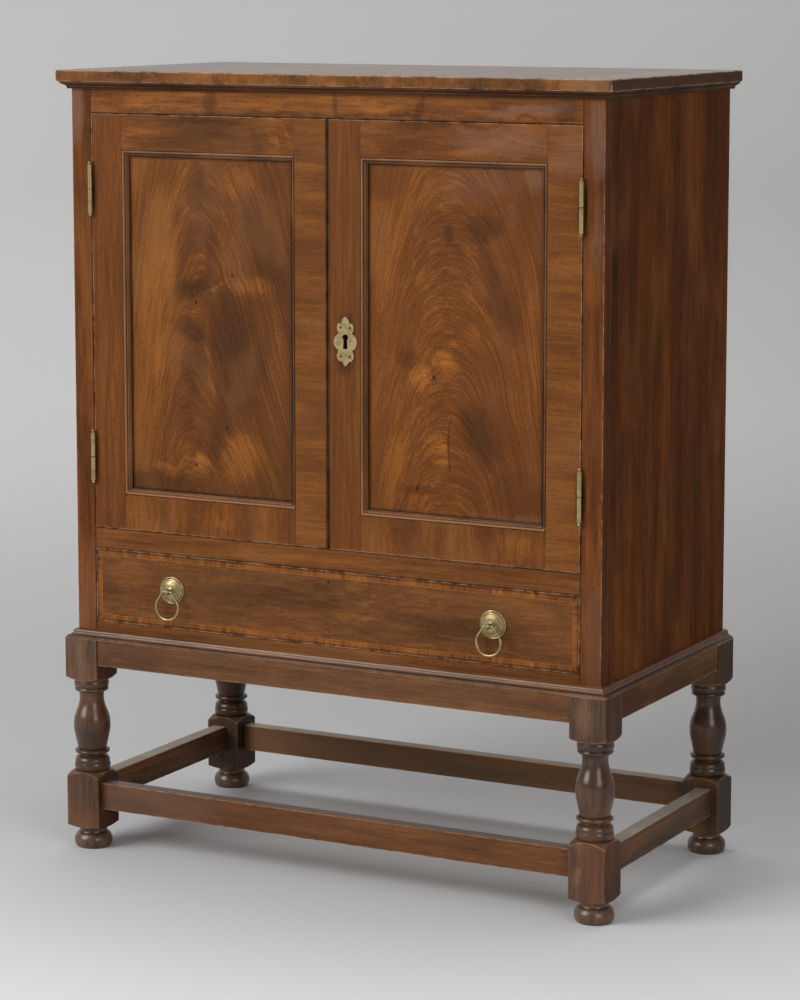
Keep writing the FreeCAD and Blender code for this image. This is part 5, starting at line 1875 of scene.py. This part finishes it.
@dataclass
class Fittings:
    """Hinges, lock, escutcheon and door bolts, with slotted screws in the hinge leaves."""

    leaf: float = 76.0 * MM
    seam: float = 1.0 * MM
    screw: Screw = Screw()
    rows: int = 3
    pitch: float = 27.36 * MM
    turn_step: float = 47.0
    pin: float = 2.6 * MM
    pin_places: Tuple[Tuple[float, float], ...] = ((7.7 * MM, 59.3 * MM), (7.6 * MM, 15.4 * MM))

    def build(self) -> None:
        """Puts a slotted screw in place of each plain one."""
        for side in ("left", "right"):
            name = f"{side}_door_screws"
            low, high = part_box(name)
            out = low.x if side == "left" else high.x
            self._set(name, f"{side}_door", ((out, -1.0 if side == "left" else 1.0),))
        low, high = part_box("hinge_frame_screws")
        reach = self.screw.length
        self._set("hinge_frame_screws", "cabinet", ((low.x + reach, 1.0), (high.x - reach, -1.0)))

    def _set(self, name: str, body: str, faces: Sequence[Tuple[float, float]]) -> None:
        """Builds the screws of one node.

        Args:
            name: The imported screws.
            body: The body that they move with.
            faces: For each column of screws, the place of its heads and the side they look to.
        """
        low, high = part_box(name)
        form = bmesh.new()
        lowest = low.z + self.screw.head_radius
        highest = high.z - self.screw.head_radius
        middle = (low.y + high.y) / 2
        count = 0
        for place, facing in faces:
            for start in (lowest, highest - (self.rows - 1) * self.pitch):
                for step in range(self.rows):
                    spot = Vector((place, middle, start + step * self.pitch))
                    self.screw.add(form, spot, facing, count * self.turn_step)
                    count += 1
        bmesh.ops.recalc_face_normals(form, faces=form.faces[:])
        steel = Palette.steel.material("slotted_" + name, count * 0.7)
        piece = finished_piece("slotted_" + name, form, steel, body)
        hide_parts(name)

    def dress(self, dresser: Dresser) -> None:
        """Gives every fitting its finish."""
        low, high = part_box("hinge_frame_leaves")
        middles = (low.z + self.leaf / 2, high.z - self.leaf / 2)
        seams = tuple(Joint(Along.Z, middle, self.seam) for middle in middles)
        for name in ("hinge_frame_leaves", "left_door_hinge_leaves", "right_door_hinge_leaves"):
            dresser.metal(name, replace(Palette.brass, seams=seams))
        plate = Block.of("escutcheon")
        across = (plate.low.x + plate.high.x) / 2
        marks = tuple(
            Patch(across + side * out, plate.low.z + rise, self.pin, self.pin, 0.95, crisp=True)
            for out, rise in self.pin_places
            for side in (-1, 1)
        )
        dresser.metal("escutcheon", replace(Palette.brass, marks=marks))
        for name in ("hinge_pins", "bolt_plates", "left_door_upper_bolt", "left_door_lower_bolt"):
            dresser.metal(name, Palette.brass)
        screws = ("hinge_frame_screws", "left_door_screws", "right_door_screws")
        for name in ("lock_case", "lock_bolt") + screws:
            dresser.metal(name, Palette.steel)


@dataclass(frozen=True)
class Lamp:
    """A soft box: where it hangs, what it points at, its width and height, and its watts."""

    name: str
    place: Tuple[float, float, float]
    target: Tuple[float, float, float]
    size: Tuple[float, float]
    power: float

    def hang(self) -> None:
        """Hangs the lamp and points it."""
        light = bpy.data.lights.new(self.name, "AREA")
        light.shape = "RECTANGLE"
        light.size, light.size_y = self.size
        light.energy = self.power
        lamp = bpy.data.objects.new(self.name, light)
        lamp.location = self.place
        lamp.rotation_mode = "QUATERNION"
        lamp.rotation_quaternion = (Vector(self.target) - Vector(self.place)).to_track_quat("-Z", "Y")
        bpy.context.scene.collection.objects.link(lamp)


@dataclass
class Studio:
    """The floor and backdrop, the lamps and the camera. The camera's place, its turn to the left,
    its tilt down and its lens are those of the camera that was fitted to the photograph's straight
    edges."""

    turn: float = math.radians(28.009)
    tilt: float = math.radians(7.6905)
    camera_place: Vector = field(default_factory=lambda: Vector((2.34188, -4.39804, 1.4000)))
    lens: float = 114.59
    sensor: float = 36.0
    rise: float = -0.10
    floor_front: float = -12.0
    floor_back: float = 1.35
    bend: float = 0.9
    bend_steps: int = 24
    wall: float = 6.0
    half_width: float = 16.0
    middle: float = 1.2
    floor_change: Tuple[float, float] = (-1.6, 1.0)
    bend_change: Tuple[float, float] = (0.0, 0.45)
    wall_change: Tuple[float, float] = (0.5, 1.7)
    air: Colour = (1.0, 0.99, 0.98)
    air_strength: float = 0.27
    lamps: Tuple[Lamp, ...] = (
        Lamp("key_lamp", (-3.2, -4.6, 3.6), (0.0, -0.1, 0.75), (3.6, 3.6), 305.0),
        Lamp("fill_lamp", (4.6, -3.4, 2.2), (0.0, 0.0, 0.7), (2.4, 2.4), 80.0),
        Lamp("top_lamp", (0.2, 0.6, 4.2), (0.0, 0.2, 0.6), (3.0, 2.0), 60.0),
    )

    def build(self) -> None:
        """Sets up the whole studio."""
        self._sweep()
        self._lamps()
        self._camera()

    def _sweep(self) -> None:
        """The floor, which bends up into the backdrop behind the cabinet."""
        form = bmesh.new()
        ends = [form.verts.new((x, self.floor_front, 0.0)) for x in (-self.half_width, self.half_width)]
        edge = form.edges.new(ends)
        floor = bmesh.ops.extrude_edge_only(form, edges=[edge])
        far = [v for v in floor["geom"] if isinstance(v, bmesh.types.BMVert)]
        bmesh.ops.translate(form, vec=(0, self.floor_back - self.floor_front, 0), verts=far)
        last = [e for e in floor["geom"] if isinstance(e, bmesh.types.BMEdge)]
        curve = bmesh.ops.spin(
            form,
            geom=last + far,
            axis=(1, 0, 0),
            cent=(0, self.floor_back, self.bend),
            angle=math.pi / 2,
            steps=self.bend_steps,
            use_merge=False,
        )
        rim = [e for e in curve["geom_last"] if isinstance(e, bmesh.types.BMEdge)]
        raised = bmesh.ops.extrude_edge_only(form, edges=rim)
        wall = [v for v in raised["geom"] if isinstance(v, bmesh.types.BMVert)]
        bmesh.ops.translate(form, vec=(0, 0, self.wall), verts=wall)
        turn = Matrix.Rotation(self.turn, 3, "Z")
        bmesh.ops.rotate(form, cent=(0, 0, 0), matrix=turn, verts=form.verts[:])
        bmesh.ops.recalc_face_normals(form, faces=form.faces[:])
        if sum(face.normal.z for face in form.faces) < 0:
            bmesh.ops.reverse_faces(form, faces=form.faces[:])
        for face in form.faces:
            face.smooth = True
        mesh = bpy.data.meshes.new("studio_sweep")
        form.to_mesh(mesh)
        form.free()
        mesh.materials.append(self._paper())
        sweep = bpy.data.objects.new("studio_sweep", mesh)
        bpy.context.scene.collection.objects.link(sweep)
        sweep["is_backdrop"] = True
        log.info("made studio_sweep with %d faces", len(mesh.polygons))

    def _paper(self) -> bpy.types.Material:
        """The pale paper of the floor and backdrop, with a painted light falloff, clear where it is seen
        from behind.
        """
        surface = Surface("studio_paper")
        x, y, z = surface.axes
        back = y * math.cos(self.turn) - x * math.sin(self.turn)
        right = (x * math.cos(self.turn) + y * math.sin(self.turn)).fade(-self.middle, self.middle)
        grain = surface.noise(surface.place, 900.0, 2.0)
        # Painted light falloff: the floor lightens towards the front, and the back of the floor and the
        # wall lighten towards the left.
        near = surface.mix(right, shade(230, 231, 232), shade(233, 234, 235))
        far = surface.mix(right, shade(184, 184, 185), shade(163, 162, 162))
        floor = surface.mix(back.drop(*self.floor_change), far, near)
        wall = surface.mix(right, shade(201, 201, 201), shade(180, 180, 179))
        wall = surface.mix(z.fade(*self.wall_change), wall, shade(184, 184, 184))
        colour = surface.mix(z.fade(*self.bend_change), floor, wall)
        behind = Number(surface, surface.node("ShaderNodeNewGeometry").outputs["Backfacing"])
        return surface.finish(
            {
                "Base Color": colour,
                "Roughness": 0.8 + grain * 0.1,
                "Specular IOR Level": 0.1,
                "Alpha": 1.0 - behind,
            }
        )

    def _lamps(self) -> None:
        """Soft studio light from the upper left, with a weak fill and a lamp above."""
        for lamp in self.lamps:
            lamp.hang()
        world = bpy.data.worlds.new("studio_air")
        world.use_nodes = True
        background = world.node_tree.nodes["Background"]
        background.inputs[0].default_value = (*self.air, 1.0)
        background.inputs[1].default_value = self.air_strength
        bpy.context.scene.world = world

    def _camera(self) -> None:
        """The camera at the photograph's viewing angle."""
        data = bpy.data.cameras.new("camera")
        data.sensor_width = self.sensor
        data.lens = self.lens
        data.shift_y = self.rise
        camera = bpy.data.objects.new("camera", data)
        camera.location = self.camera_place
        camera.rotation_euler = (math.pi / 2 - self.tilt, 0.0, self.turn)
        bpy.context.scene.collection.objects.link(camera)
        bpy.context.scene.camera = camera


def main() -> Tuple[Vector, Vector]:
    """Builds and dresses the cabinet.

    Returns:
        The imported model's box.
    """
    logging.basicConfig(level=logging.INFO, format="%(message)s")
    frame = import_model()
    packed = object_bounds()
    dresser = Dresser(frame["nodes"])
    Studio().build()
    Stand().dress(dresser)
    case = Case()
    case.dress(dresser)
    case.build()
    plain = (Palette.door_plain, Along.Z)
    cross = (Palette.door_cross, Along.X)
    Door("left", plain, cross, Palette.left_panel).dress(dresser)
    Door("right", cross, plain, Palette.right_panel).dress(dresser)
    Drawer().dress(dresser)
    fittings = Fittings()
    fittings.dress(dresser)
    fittings.build()
    bpy.context.scene.view_settings.view_transform = "Standard"
    return packed


if __name__ == "__main__":
    box = main()
